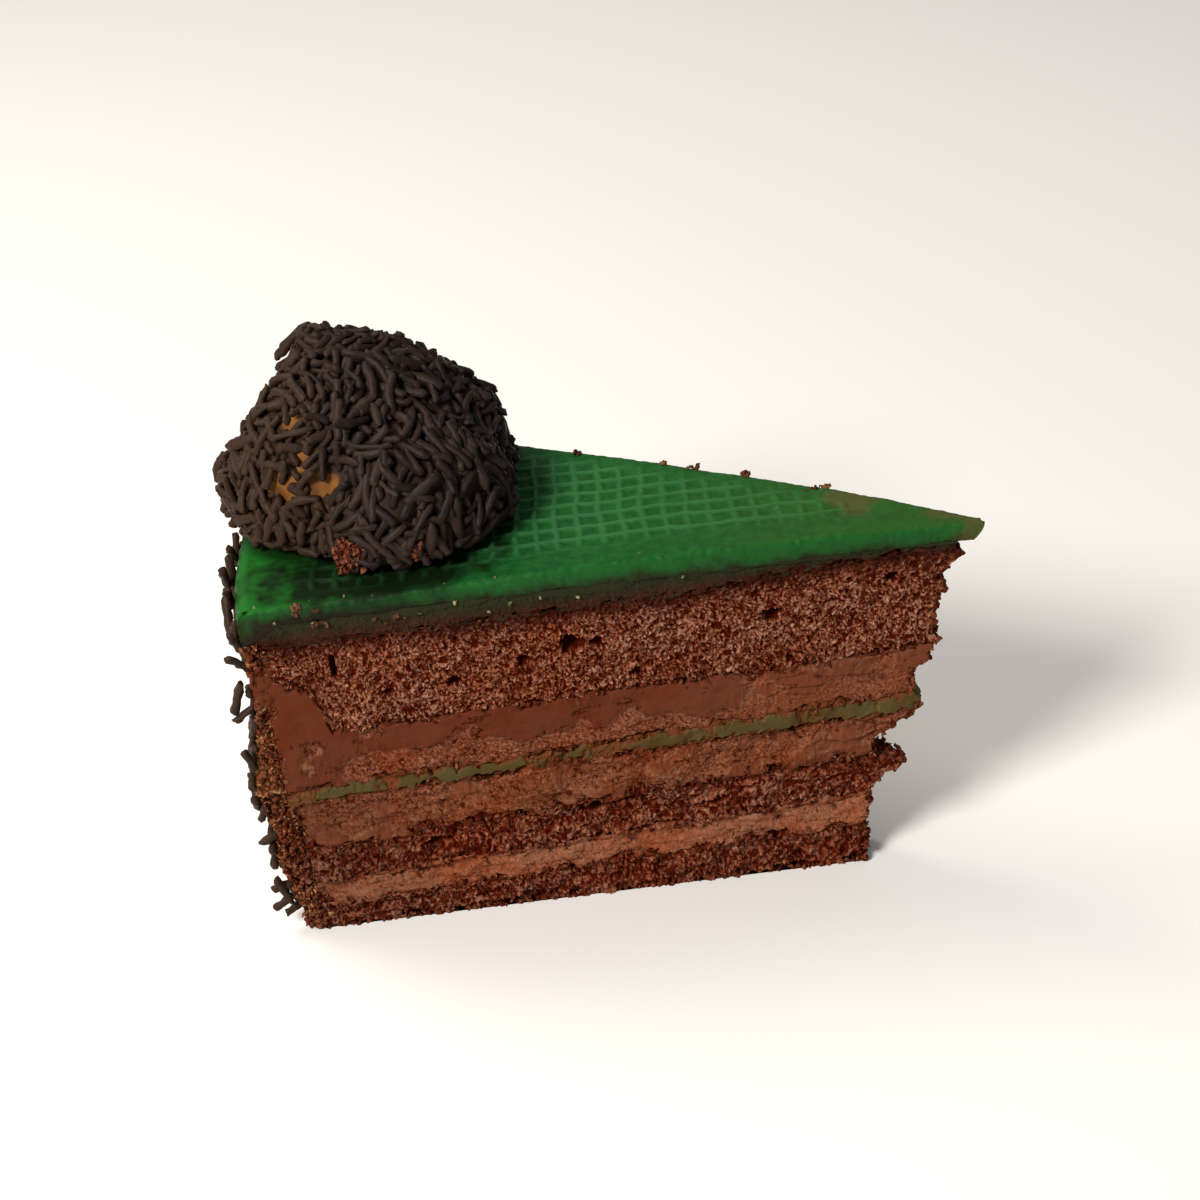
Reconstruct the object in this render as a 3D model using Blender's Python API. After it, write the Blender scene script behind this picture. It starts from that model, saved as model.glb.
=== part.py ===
"""A slice of layered chocolate torte under green marzipan, with a sprinkled truffle on top.

Metres, +Z up. The near cut face looks along -Y, the pointed end is at +X and the cake's
round outer side is at -X. While the slice is modelled its tip stands on x = 0, y = 0. At the
end everything is moved, so that the origin is the middle of the slice's box, at its base.
"""
import math
import random

import bmesh
import bpy
from mathutils import Matrix, Vector, noise
from mathutils.geometry import delaunay_2d_cdt

# Driving sizes of the cut slice
HEIGHT = 0.0658
CAKE_RADIUS = 0.130
CAKE_CENTRE = Vector((0.0087, 0.0140))
WEDGE_ANGLE = math.radians(30.0)
APEX_PAST_TIP = 0.0032
FAR_FACE_LEAN = 0.0130
GAP = 0.0003

# How far the blunt, crumbled end stands back from the tip, by height
TIP_STANDS_BACK = (
    (0.0000, 0.0214),
    (0.0050, 0.0212),
    (0.0110, 0.0198),
    (0.0165, 0.0192),
    (0.0195, 0.0150),
    (0.0215, 0.0150),
    (0.0250, 0.0190),
    (0.0295, 0.0136),
    (0.0360, 0.0104),
    (0.0450, 0.0084),
    (0.0570, 0.0064),
    (0.0620, 0.0044),
    (0.0658, 0.0030),
)

# How far the outer side swells past the cake's radius, by height
SIDE_SWELL = (
    (0.0000, -0.0026),
    (0.0025, -0.0010),
    (0.0100, 0.0002),
    (0.0145, 0.0018),
    (0.0205, 0.0008),
    (0.0250, 0.0026),
    (0.0310, 0.0025),
    (0.0380, 0.0009),
    (0.0440, -0.0003),
    (0.0658, 0.0000),
)

# How far the layers stand inside the cake's radius, behind the cream coat, by height
CORE_INSET = (
    (0.0000, 0.0046),
    (0.0120, 0.0025),
    (0.0658, 0.0025),
)

# Heights where one layer ends and the next begins: at the outer side, and at the tip
BASE = "base"
BOUNDARIES = {
    "bottom_sponge": (0.0042, 0.0088),
    "lower_cream": (0.0094, 0.0150),
    "middle_sponge": (0.0166, 0.0236),
    "middle_cream": (0.0264, 0.0308),
    "green_layer": (0.0291, 0.0346),
    "upper_cream": (0.0398, 0.0436),
    "top_sponge": (0.0587, 0.0587),
    "cover_cream": (0.0625, 0.0625),
}
WAVE_HEIGHT = 0.0005
WAVE_LENGTH = 0.016
WAVE_SEED_STEP = 3.7
SPONGE_RISE_AT_TIP = 0.0028
SPONGE_RISE_START = 0.60
SPONGE_RISE_END = 0.87

# The upper cream climbs the outer side: height gained, by depth behind the coat
CREAM_CLIMB = (
    (0.0000, 0.0130),
    (0.0035, 0.0105),
    (0.0068, 0.0085),
    (0.0102, 0.0000),
)

# Steps along each side of a layer's outline
NEAR_STEPS = 33
ARC_STEPS = 10
FAR_STEPS = 24
TIP_STEPS = 2

# Relief on the cut faces
SPONGE_ROUGHNESS = 0.0009
CREAM_ROUGHNESS = 0.0005
SHARED_ROUGHNESS = 0.0004
TIP_ROUGHNESS = 0.0012
RELIEF_SIZE = 0.0042
RELIEF_SINK = 0.25

# Stretches of the near face where the green layer is torn and sits back under cream
GREEN_TEARS = ((-0.103, -0.098), (-0.0480, -0.0435))
GREEN_TEAR_DEPTH = 0.0012

# Large bubbles in the near face of the top sponge: along, up, radius
BUBBLES = (
    (-0.0352, 0.0532, 0.0014),
    (-0.0679, 0.0522, 0.0017),
    (-0.0759, 0.0499, 0.0010),
    (-0.0876, 0.0476, 0.0011),
    (-0.1062, 0.0530, 0.0011),
    (-0.0580, 0.0452, 0.0010),
    (-0.0155, 0.0575, 0.0009),
)

# Marzipan cover. Its edge is drawn from the lip's foot up: rise, inset on the outer side,
# inset on the cut faces
MARZIPAN_LIP_BOTTOM = 0.0595
MARZIPAN_UNDERSIDE = 0.0628
MARZIPAN_LIP = 0.0020
MARZIPAN_TIP = 0.0002
MARZIPAN_SMOOTHNESS = 0.3
MARZIPAN_EDGE = (
    (0.0000, 0.0006, 0.0002),
    (0.0030, 0.0000, 0.0000),
    (0.0048, 0.0002, 0.0000),
    (0.0058, 0.0009, 0.0001),
    (0.0063, 0.0023, 0.0004),
)
UNDERSIDE_CUT_DEPTH = 0.010
UNDERSIDE_CUT_SIDES = 120

# Pressed squares in the marzipan
IMPRINT_PITCH = 0.0036
IMPRINT_DEPTH = 0.0007
IMPRINT_TURN = math.radians(2.0)
IMPRINT_EDGE_MARGIN = IMPRINT_PITCH * 0.35
IMPRINT_ROWS_BEFORE = 4
IMPRINT_LEAST_SHARE = 0.2
RIDGE_SINK_SHARE = 0.1
SMOOTH_BAND = 0.0075
TRUFFLE_SHELTER = 0.8
SHELTER_FADE = 0.004

# The top swells gently between the truffle and the tip: shares of the way to the tip
CROWN = 0.0011
CROWN_START = 0.20
CROWN_FULL = 0.60
CROWN_FALL = 0.80

# Truffle
TRUFFLE_CENTRE = Vector((-0.0992, 0.0340, HEIGHT + 0.0040))
TRUFFLE_RADIUS = 0.0238
TRUFFLE_FOOT = 0.0106
# It bulges low on the near side, towards the tip
TRUFFLE_BULGE = 0.0066
TRUFFLE_BULGE_FACING = Vector((0.469, -0.883, 0.0))
TRUFFLE_BULGE_START = 0.66
TRUFFLE_SEGMENTS = 24
TRUFFLE_RINGS = 7
TRUFFLE_PEAK = 0.0006
TRUFFLE_LUMPS = 0.0004
TRUFFLE_LUMPS_ROUND = 2.4
TRUFFLE_SPRINKLES = 84
TRUFFLE_SEED = 41
TRUFFLE_LEAST_DOWNHILL = 0.25

# Cake crumbs that cling to the truffle's foot: turn about the truffle, radius
FOOT_CRUMBS = ((-1.62, 0.0026), (-1.05, 0.0018), (-1.95, 0.0016))
CRUMB_SUNK_SHARE = 0.3
CRUMB_LIFT_SHARE = 0.9
CRUMB_SIZE_SHARE = 0.85

# Chocolate sprinkles
SPRINKLE_LENGTH = 0.0062
SPRINKLE_LENGTH_RANGE = (0.8, 1.15)
SPRINKLE_RADIUS = 0.00088
SPRINKLE_SIDES = 6
SPRINKLE_END_SHARE = 0.6
SPRINKLE_PROUD = 0.00035
GOLDEN_ANGLE = math.pi * (3.0 - math.sqrt(5.0))
GOLDEN_SHARE = (math.sqrt(5.0) - 1.0) / 2.0

# Cream coat on the outer side, and its sprinkles
COAT_STEPS = 14
COAT_STATIONS = 15
COAT_LUMPS_ROUND = 14.0
COAT_LUMP_HEIGHT = 0.005
COAT_LUMP_SEED = 4.1
SIDE_SPRINKLES = 40
SIDE_SPRINKLES_LOW = 0.0022
SIDE_SPRINKLES_HIGH = 0.0575
SIDE_SPRINKLES_MARGIN = 0.07
SIDE_SEED = 7
SIDE_LEAST_DOWNHILL = 0.1

# Least sizes that the meshes keep apart, and the angle where shading breaks
MERGE_DISTANCE = 1e-6
SLIVER = 1e-7
LEAST_SINE = 0.2
SHARP_ANGLE = math.radians(38.0)


def between(table, value):
    """Straight-line reading of a small table of (value, result) rows."""
    for (low, low_result), (high, high_result) in zip(table, table[1:]):
        if value <= high:
            share = max(0.0, (value - low) / (high - low))
            return low_result + (high_result - low_result) * share
    return table[-1][1]


def ease(share):
    """Smooth step from 0 to 1."""
    share = min(1.0, max(0.0, share))
    return share * share * (3.0 - 2.0 * share)


def clear_scene():
    for item in list(bpy.data.objects):
        bpy.data.objects.remove(item, do_unlink=True)


def material(name, colour, roughness):
    made = bpy.data.materials.new(name)
    made.use_nodes = True
    shader = made.node_tree.nodes["Principled BSDF"]
    shader.inputs["Base Color"].default_value = (*colour, 1.0)
    shader.inputs["Roughness"].default_value = roughness
    shader.inputs["Metallic"].default_value = 0.0
    return made


def add_object(name, shape, finish):
    """Turn a bmesh into an object of its own, with its faces pointing out."""
    bmesh.ops.recalc_face_normals(shape, faces=shape.faces)
    mesh = bpy.data.meshes.new(name)
    shape.to_mesh(mesh)
    shape.free()
    item = bpy.data.objects.new(name, mesh)
    bpy.context.scene.collection.objects.link(item)
    if finish is not None:
        mesh.materials.append(finish)
    return item


def add_cutter(name, shape):
    """An object that only takes material away from others."""
    cutter = add_object(name, shape, None)
    cutter.hide_render = True
    cutter.display_type = "WIRE"
    return cutter


# The slice's outline

def side_radius(z):
    """Radius of the cream coat's outer surface."""
    return CAKE_RADIUS + between(SIDE_SWELL, z)


def core_radius(z):
    """Radius of the layers behind the coat."""
    return CAKE_RADIUS - between(CORE_INSET, z)


def near_corner(radius):
    """Where a circle about the cake's centre meets the near cut face."""
    return Vector((CAKE_CENTRE.x - math.sqrt(radius ** 2 - CAKE_CENTRE.y ** 2), 0.0))


def far_line(z):
    """The far cut face at one height: a point and a direction away from the tip."""
    start = Vector((APEX_PAST_TIP - FAR_FACE_LEAN * (1.0 - z / HEIGHT), 0.0))
    direction = Vector((-math.cos(WEDGE_ANGLE), math.sin(WEDGE_ANGLE)))
    return start, direction


def far_corner(radius, z):
    """Where a circle about the cake's centre meets the far cut face."""
    start, direction = far_line(z)
    offset = start - CAKE_CENTRE
    half = offset.dot(direction)
    reach = -half + math.sqrt(half ** 2 - offset.length_squared + radius ** 2)
    return start + direction * reach


def arc_point(along, radius, z):
    """A point of a circle about the cake's centre, from the near face to the far face."""
    first = near_corner(radius) - CAKE_CENTRE
    last = far_corner(radius, z) - CAKE_CENTRE
    angle_first = math.atan2(first.y, first.x) % math.tau
    angle_last = math.atan2(last.y, last.x) % math.tau
    angle = angle_first + (angle_last - angle_first) * along
    outward = Vector((math.cos(angle), math.sin(angle)))
    return CAKE_CENTRE + outward * radius, outward


def outline_point(side, along, z, radius, stands_back):
    """A point of the slice's outline at height z, and the direction that points out of it."""
    start, direction = far_line(z)
    near_tip = Vector((-stands_back, 0.0))
    far_tip = start + direction * ((stands_back + start.x) / math.cos(WEDGE_ANGLE))
    if side == "near":
        return near_tip.lerp(near_corner(radius), along), Vector((0.0, -1.0))
    if side == "arc":
        return arc_point(along, radius, z)
    if side == "far":
        outward = Vector((math.sin(WEDGE_ANGLE), math.cos(WEDGE_ANGLE)))
        return far_corner(radius, z).lerp(far_tip, along), outward
    return far_tip.lerp(near_tip, along), Vector((1.0, 0.0))


def outline_stations():
    """The sides of the outline in turn, each with the shares along it."""
    steps = (("near", NEAR_STEPS), ("arc", ARC_STEPS), ("far", FAR_STEPS), ("tip", TIP_STEPS))
    return [(side, step / count) for side, count in steps for step in range(count)]


# Where the layers meet

def boundary(name, place):
    """Height of the surface on top of the named layer, over a place in plan."""
    if name == BASE:
        return 0.0
    at_side, at_tip = BOUNDARIES[name]
    if name == "cover_cream":
        return at_side
    towards_tip = 1.0 - place.length / CAKE_RADIUS
    height = at_side + (at_tip - at_side) * towards_tip
    seed = WAVE_SEED_STEP * list(BOUNDARIES).index(name)
    height += WAVE_HEIGHT * noise.noise(Vector((*(place / WAVE_LENGTH), seed)))
    if name == "top_sponge":
        span = SPONGE_RISE_END - SPONGE_RISE_START
        height += SPONGE_RISE_AT_TIP * ease((towards_tip - SPONGE_RISE_START) / span)
    if name == "upper_cream":
        behind_coat = core_radius(at_side) - (place - CAKE_CENTRE).length
        height += between(CREAM_CLIMB, max(0.0, behind_coat))
    return height


def crown(place):
    """Rise of the top over a place in plan."""
    towards_tip = 1.0 - place.length / CAKE_RADIUS
    rise = ease((towards_tip - CROWN_START) / (CROWN_FULL - CROWN_START))
    return CROWN * rise * (1.0 - ease((towards_tip - CROWN_FALL) / (1.0 - CROWN_FALL)))


def climb_points(name, lift):
    """Points inside the outline where the climbing cream's surface bends."""
    if name != "upper_cream":
        return []
    points = []
    radius = core_radius(BOUNDARIES[name][0])
    for depth, _ in CREAM_CLIMB[1:]:
        for step in range(1, ARC_STEPS):
            place, _ = arc_point(step / ARC_STEPS, radius - depth, HEIGHT)
            points.append(Vector((*place, boundary(name, place) + lift)))
    return points


def fill(ring, inner, ridges=()):
    """Triangles that fill a closed ring of plan points round some inner ones."""
    points = list(ring) + list(inner)
    outline = list(range(len(ring)))
    result = delaunay_2d_cdt(points, list(ridges), [outline], 1, MERGE_DISTANCE)
    faces, came_from = result[2], result[3]
    return [[came_from[corner][0] for corner in face] for face in faces]


def loft(rings, bottom_inner, top_inner, ridges=()):
    """Close a stack of rings of equal length with filled faces below and above."""
    shape = bmesh.new()
    rows = [[shape.verts.new(point) for point in ring] for ring in rings]
    count = len(rows[0])
    for lower, upper in zip(rows, rows[1:]):
        for step in range(count):
            after = (step + 1) % count
            corners = (lower[step], lower[after], upper[after], upper[step])
            shape.faces.new(corners[:3])
            shape.faces.new((corners[0], corners[2], corners[3]))
    for row, inner, inner_ridges in (
        (rows[0], bottom_inner, ()),
        (rows[-1], top_inner, ridges),
    ):
        verts = row + [shape.verts.new(point) for point in inner]
        plan_ring = [vert.co.xy for vert in row]
        plan_inner = [Vector(point).xy for point in inner]
        for corners in fill(plan_ring, plan_inner, inner_ridges):
            shape.faces.new([verts[corner] for corner in corners])
    return shape


def cut_relief(side, place, z, roughness):
    """How far a point of a cut face is pushed out of it."""
    if side == "arc":
        return 0.0
    if side == "tip":
        roughness = TIP_ROUGHNESS
    spot = Vector((place.x, place.y, z)) / RELIEF_SIZE
    return roughness * (noise.noise(spot) - RELIEF_SINK)


def green_tear(side, place):
    """The torn stretches of the green layer stand back from the near face."""
    if side != "near":
        return 0.0
    for start, end in GREEN_TEARS:
        if start <= place.x <= end:
            return -GREEN_TEAR_DEPTH
    return 0.0


def layer(name, below, rows, roughness, finish):
    """One layer of the cake, from the surface below it up to its own boundary."""
    rings = []
    for row in range(rows + 1):
        share = row / rows
        rough = SHARED_ROUGHNESS if row in (0, rows) else roughness
        ring = []
        for side, along in outline_stations():
            plan, _ = outline_point(side, along, HEIGHT, core_radius(HEIGHT), MARZIPAN_TIP)
            floor_z = boundary(below, plan)
            roof_z = boundary(name, plan)
            z = floor_z + (roof_z - floor_z) * share
            stands_back = between(TIP_STANDS_BACK, z)
            place, outward = outline_point(side, along, z, core_radius(z), stands_back)
            push = cut_relief(side, place, z, rough)
            if name == "green_layer" and 0 < row < rows:
                push += green_tear(side, place)
            place = place + outward * push
            if row == 0 and below != BASE:
                z += GAP / 2.0
            if row == rows:
                z -= GAP / 2.0
            ring.append(Vector((place.x, place.y, z)))
        rings.append(ring)
    under = climb_points(below, GAP / 2.0)
    over = climb_points(name, -GAP / 2.0)
    return add_object(name, loft(rings, under, over), finish)


def bubble_cutter():
    """The large bubbles as one set of small balls on the near face."""
    shape = bmesh.new()
    for x, z, radius in BUBBLES:
        place = Matrix.Translation((x, 0.0, z))
        bmesh.ops.create_icosphere(shape, subdivisions=1, radius=radius, matrix=place)
    return add_cutter("bubbles", shape)


def apply_modifiers(item):
    """Keep the mesh as the modifiers leave it, and drop them."""
    seen = item.evaluated_get(bpy.context.evaluated_depsgraph_get())
    made = bpy.data.meshes.new_from_object(seen)
    item.modifiers.clear()
    item.data = made


def cut(item, cutter):
    """Take the cutter's volume out of an object."""
    knife = item.modifiers.new("cut", "BOOLEAN")
    knife.operation = "DIFFERENCE"
    knife.solver = "EXACT"
    knife.object = cutter
    apply_modifiers(item)
    bpy.data.objects.remove(cutter, do_unlink=True)
    keep_largest_shell(item)


def keep_largest_shell(item):
    """Drop loose scraps and fill sealed hollows, which are shells of their own."""
    shape = bmesh.new()
    shape.from_mesh(item.data)
    bmesh.ops.dissolve_degenerate(shape, dist=SLIVER, edges=shape.edges)
    bmesh.ops.triangulate(shape, faces=shape.faces)
    unseen = set(shape.faces)
    shells = []
    while unseen:
        shell = set()
        front = [unseen.pop()]
        while front:
            face = front.pop()
            shell.add(face)
            for edge in face.edges:
                for other in edge.link_faces:
                    if other in unseen:
                        unseen.remove(other)
                        front.append(other)
        shells.append(shell)
    shells.sort(key=len)
    scraps = [face for shell in shells[:-1] for face in shell]
    bmesh.ops.delete(shape, geom=scraps, context="FACES")
    shape.to_mesh(item.data)
    shape.free()


def fuse(item, pieces, solver):
    """Join small pieces to an object by one union, and remove them."""
    group = bpy.data.collections.new(item.name + "_pieces")
    bpy.context.scene.collection.children.link(group)
    for piece in pieces:
        group.objects.link(piece)
        bpy.context.scene.collection.objects.unlink(piece)
    joiner = item.modifiers.new("fuse", "BOOLEAN")
    joiner.operation = "UNION"
    joiner.operand_type = "COLLECTION"
    joiner.collection = group
    joiner.solver = solver
    apply_modifiers(item)
    for piece in pieces:
        bpy.data.objects.remove(piece, do_unlink=True)
    bpy.data.collections.remove(group)
    keep_largest_shell(item)


# Marzipan cover

def imprint_points(edge_ring):
    """Corners and middles of the pressed squares that lie inside the cover's edge."""
    turn = Matrix.Rotation(-IMPRINT_TURN, 2)
    plan_edge = [point.xy for point in edge_ring]
    columns = int(CAKE_RADIUS / IMPRINT_PITCH) + 2
    places = []
    links = []
    corner_number = {}
    for column in range(columns):
        for row in range(-IMPRINT_ROWS_BEFORE, columns):
            for half in (0.0, 0.5):
                flat = Vector((-(column + half), row + half)) * IMPRINT_PITCH
                place = turn @ flat
                if not well_inside(place, plan_edge, IMPRINT_EDGE_MARGIN):
                    continue
                if half == 0.0:
                    corner_number[(column, row)] = len(places)
                places.append(imprint_vertex(place, half))
    for (column, row), number in corner_number.items():
        for neighbour in ((column + 1, row), (column, row + 1)):
            if neighbour in corner_number:
                links.append((number, corner_number[neighbour]))
    return places, links


def well_inside(place, ring, margin):
    """True where a plan point lies inside a clockwise ring, clear of its edge."""
    for start, end in zip(ring, ring[1:] + ring[:1]):
        along = (end - start).normalized()
        inward = Vector((along.y, -along.x))
        if (place - start).dot(inward) < margin:
            return False
    return True


def imprint_vertex(place, half):
    """Ridges stay up and the middle of each square is pressed in."""
    near_edge = ease(place.y / SMOOTH_BAND)
    past_truffle = (place - TRUFFLE_CENTRE.xy).length - TRUFFLE_RADIUS * TRUFFLE_SHELTER
    pressed = near_edge * ease(past_truffle / SHELTER_FADE)
    depth = IMPRINT_DEPTH * (IMPRINT_LEAST_SHARE + (1.0 - IMPRINT_LEAST_SHARE) * pressed)
    sunk = depth if half else depth * RIDGE_SINK_SHARE
    return Vector((place.x, place.y, HEIGHT + crown(place) - sunk))


def underside_cutter():
    """A round block that leaves the cover a thin sheet with a lip on its outer side."""
    shape = bmesh.new()
    middle_z = MARZIPAN_UNDERSIDE - UNDERSIDE_CUT_DEPTH / 2.0
    bmesh.ops.create_cone(
        shape,
        cap_ends=True,
        segments=UNDERSIDE_CUT_SIDES,
        radius1=CAKE_RADIUS - MARZIPAN_LIP,
        radius2=CAKE_RADIUS - MARZIPAN_LIP,
        depth=UNDERSIDE_CUT_DEPTH,
        matrix=Matrix.Translation((*CAKE_CENTRE, middle_z)),
    )
    return add_cutter("cover_underside", shape)


def marzipan_cover(finish):
    """A rolled sheet over the whole top, turned down a little at the outer side."""
    rings = []
    for rise, arc_inset, cut_inset in MARZIPAN_EDGE:
        z = MARZIPAN_LIP_BOTTOM + rise
        ring = []
        for side, along in outline_stations():
            radius = side_radius(z) - arc_inset
            place, outward = outline_point(side, along, z, radius, MARZIPAN_TIP)
            inset = 0.0 if side == "arc" else cut_inset
            push = MARZIPAN_SMOOTHNESS * cut_relief(side, place, z, CREAM_ROUGHNESS) - inset
            place = place + outward * push
            swell = crown(place) * rise / MARZIPAN_EDGE[-1][0]
            ring.append(Vector((place.x, place.y, z + swell)))
        rings.append(ring)
    places, links = imprint_points(rings[-1])
    first = len(rings[-1])
    ridges = [(start + first, end + first) for start, end in links]
    item = add_object("marzipan_cover", loft(rings, [], places, ridges), finish)
    cut(item, underside_cutter())


# Sprinkles

def sprinkle(place, direction, outward, length):
    """A short rod with pointed ends, lying along a direction."""
    shape = bmesh.new()
    side = direction.cross(outward).normalized()
    lift = side.cross(direction).normalized()
    half = length / 2.0
    shoulder = half - SPRINKLE_RADIUS * SPRINKLE_END_SHARE
    rings = []
    for reach in (-shoulder, shoulder):
        ring = []
        for step in range(SPRINKLE_SIDES):
            angle = math.tau * step / SPRINKLE_SIDES
            spoke = side * math.cos(angle) + lift * math.sin(angle)
            ring.append(shape.verts.new(place + direction * reach + spoke * SPRINKLE_RADIUS))
        rings.append(ring)
    first_end = shape.verts.new(place - direction * half)
    last_end = shape.verts.new(place + direction * half)
    first, last = rings
    for step in range(SPRINKLE_SIDES):
        after = (step + 1) % SPRINKLE_SIDES
        shape.faces.new((first[step], first[after], last[after], last[step]))
        shape.faces.new((first[after], first[step], first_end))
        shape.faces.new((last[step], last[after], last_end))
    return add_object("sprinkle", shape, None)


def lying_direction(outward, downhill_share, rng):
    """A direction in the surface, turned from level to downhill by the share."""
    level = Vector((0.0, 0.0, 1.0)).cross(outward).normalized()
    downhill = level.cross(outward).normalized()
    across = math.sqrt(max(0.0, 1.0 - downhill_share ** 2))
    sign = rng.choice((-1.0, 1.0))
    return (downhill * downhill_share + level * (across * sign)).normalized()


# Truffle

def truffle_point(outward, proud):
    """A point of the truffle's surface: a ball above its widest ring, a flatter foot below."""
    aligned = outward.dot(TRUFFLE_BULGE_FACING) - TRUFFLE_BULGE_START
    bulge = TRUFFLE_BULGE * ease(aligned / (1.0 - TRUFFLE_BULGE_START))
    reach = TRUFFLE_RADIUS + proud + bulge
    height = reach if outward.z > 0.0 else TRUFFLE_FOOT + proud
    return TRUFFLE_CENTRE + Vector((outward.x * reach, outward.y * reach, outward.z * height))


def truffle_ring(shape, angle, base_z):
    """One level ring of the truffle, at an angle from its top; base_z is set on its foot."""
    ring = []
    for step in range(TRUFFLE_SEGMENTS):
        turn = math.tau * step / TRUFFLE_SEGMENTS
        outward = Vector((math.cos(turn), math.sin(turn), 0.0)) * math.sin(angle)
        outward.z = math.cos(angle)
        lump = TRUFFLE_LUMPS * noise.noise(outward * TRUFFLE_LUMPS_ROUND)
        point = truffle_point(outward, lump)
        if base_z is not None:
            point.z = base_z + crown(point.xy)
        ring.append(shape.verts.new(point))
    return ring


def truffle(finish):
    """A domed ball of truffle cream that stands on the marzipan, covered in sprinkles."""
    shape = bmesh.new()
    base_z = HEIGHT + GAP
    base_angle = math.acos((base_z - TRUFFLE_CENTRE.z) / TRUFFLE_FOOT)
    rings = []
    for row in range(TRUFFLE_RINGS):
        angle = base_angle * (1.0 - row / TRUFFLE_RINGS)
        rings.append(truffle_ring(shape, angle, base_z if row == 0 else None))
    peak = shape.verts.new(TRUFFLE_CENTRE + Vector((0.0, 0.0, TRUFFLE_RADIUS + TRUFFLE_PEAK)))
    below = TRUFFLE_CENTRE.xy
    foot = shape.verts.new((*below, base_z + crown(below)))
    for step in range(TRUFFLE_SEGMENTS):
        after = (step + 1) % TRUFFLE_SEGMENTS
        for lower, upper in zip(rings, rings[1:]):
            shape.faces.new((lower[step], lower[after], upper[after], upper[step]))
        shape.faces.new((rings[-1][step], rings[-1][after], peak))
        shape.faces.new((rings[0][after], rings[0][step], foot))
    item = add_object("truffle", shape, finish)
    fuse(item, truffle_sprinkles(base_z) + foot_crumbs(base_z), "EXACT")


def truffle_sprinkles(base_z):
    """Sprinkles spread evenly over the dome, clear of the marzipan."""
    rng = random.Random(TRUFFLE_SEED)
    pieces = []
    lowest = base_z + CROWN / 2.0 + SPRINKLE_RADIUS + GAP
    low_cosine = (lowest - TRUFFLE_CENTRE.z) / TRUFFLE_FOOT
    for number in range(TRUFFLE_SPRINKLES):
        share = (number + 0.5) / TRUFFLE_SPRINKLES
        cosine = 1.0 - (1.0 - low_cosine) * share
        sine = math.sqrt(1.0 - cosine ** 2)
        turn = GOLDEN_ANGLE * number
        outward = Vector((sine * math.cos(turn), sine * math.sin(turn), cosine))
        place = truffle_point(outward, SPRINKLE_PROUD)
        length = SPRINKLE_LENGTH * rng.uniform(*SPRINKLE_LENGTH_RANGE)
        room = (place.z - lowest) / (length / 2.0 * max(sine, LEAST_SINE))
        downhill = min(rng.uniform(TRUFFLE_LEAST_DOWNHILL, 1.0), max(0.0, room))
        direction = lying_direction(outward, downhill, rng)
        pieces.append(sprinkle(place, direction, outward, length))
    return pieces


def foot_crumbs(base_z):
    """A few cake crumbs that cling to the truffle's foot."""
    pieces = []
    for turn, radius in FOOT_CRUMBS:
        outward = Vector((math.cos(turn), math.sin(turn), 0.0))
        plan = truffle_point(outward, -radius * CRUMB_SUNK_SHARE).xy
        middle_z = base_z + CROWN / 2.0 + radius * CRUMB_LIFT_SHARE
        shape = bmesh.new()
        bmesh.ops.create_icosphere(
            shape,
            subdivisions=1,
            radius=radius * CRUMB_SIZE_SHARE,
            matrix=Matrix.Translation((*plan, middle_z)),
        )
        pieces.append(add_object("crumb", shape, None))
    return pieces


# Cream coat on the outer side

def side_coat(finish):
    """A thin coat of cream on the cake's outer side, under the marzipan's edge."""
    top = MARZIPAN_LIP_BOTTOM - GAP
    heights = [top * step / COAT_STEPS for step in range(COAT_STEPS + 1)]
    shape = bmesh.new()
    columns = []
    for station in range(COAT_STATIONS + 1):
        along = station / COAT_STATIONS
        outer = []
        inner = []
        for z in heights:
            spot = Vector((along * COAT_LUMPS_ROUND, z / COAT_LUMP_HEIGHT, COAT_LUMP_SEED))
            lump = CREAM_ROUGHNESS * noise.noise(spot)
            place, _ = arc_point(along, side_radius(z) + lump, z)
            outer.append(shape.verts.new((*place, z)))
            place, _ = arc_point(along, core_radius(z) + GAP, z)
            inner.append(shape.verts.new((*place, z)))
        columns.append(outer + inner[::-1])
    count = len(columns[0])
    for first, second in zip(columns, columns[1:]):
        for step in range(count):
            after = (step + 1) % count
            shape.faces.new((first[step], first[after], second[after], second[step]))
    for column in (columns[0], columns[-1]):
        for step in range(COAT_STEPS):
            back = count - 1 - step
            shape.faces.new((column[step], column[step + 1], column[back - 1], column[back]))
    bmesh.ops.triangulate(shape, faces=shape.faces)
    item = add_object("side_coat", shape, finish)
    fuse(item, side_sprinkles(), "MANIFOLD")


def side_sprinkles():
    """Sprinkles spread evenly over the coat, clear of the cut faces and the marzipan."""
    rng = random.Random(SIDE_SEED)
    pieces = []
    for number in range(SIDE_SPRINKLES):
        share = (number + 0.5) / SIDE_SPRINKLES
        z = SIDE_SPRINKLES_LOW + (SIDE_SPRINKLES_HIGH - SIDE_SPRINKLES_LOW) * share
        spread = (number * GOLDEN_SHARE) % 1.0
        along = SIDE_SPRINKLES_MARGIN + (1.0 - 2.0 * SIDE_SPRINKLES_MARGIN) * spread
        length = SPRINKLE_LENGTH * rng.uniform(*SPRINKLE_LENGTH_RANGE)
        plan, outward_plan = arc_point(along, side_radius(z) + SPRINKLE_PROUD, z)
        outward = Vector((*outward_plan, 0.0))
        room = min(z - SIDE_SPRINKLES_LOW, SIDE_SPRINKLES_HIGH - z) / (length / 2.0)
        downhill = min(rng.uniform(SIDE_LEAST_DOWNHILL, 1.0), max(0.0, room))
        direction = lying_direction(outward, downhill, rng)
        pieces.append(sprinkle(Vector((*plan, z)), direction, outward, length))
    return pieces


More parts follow.
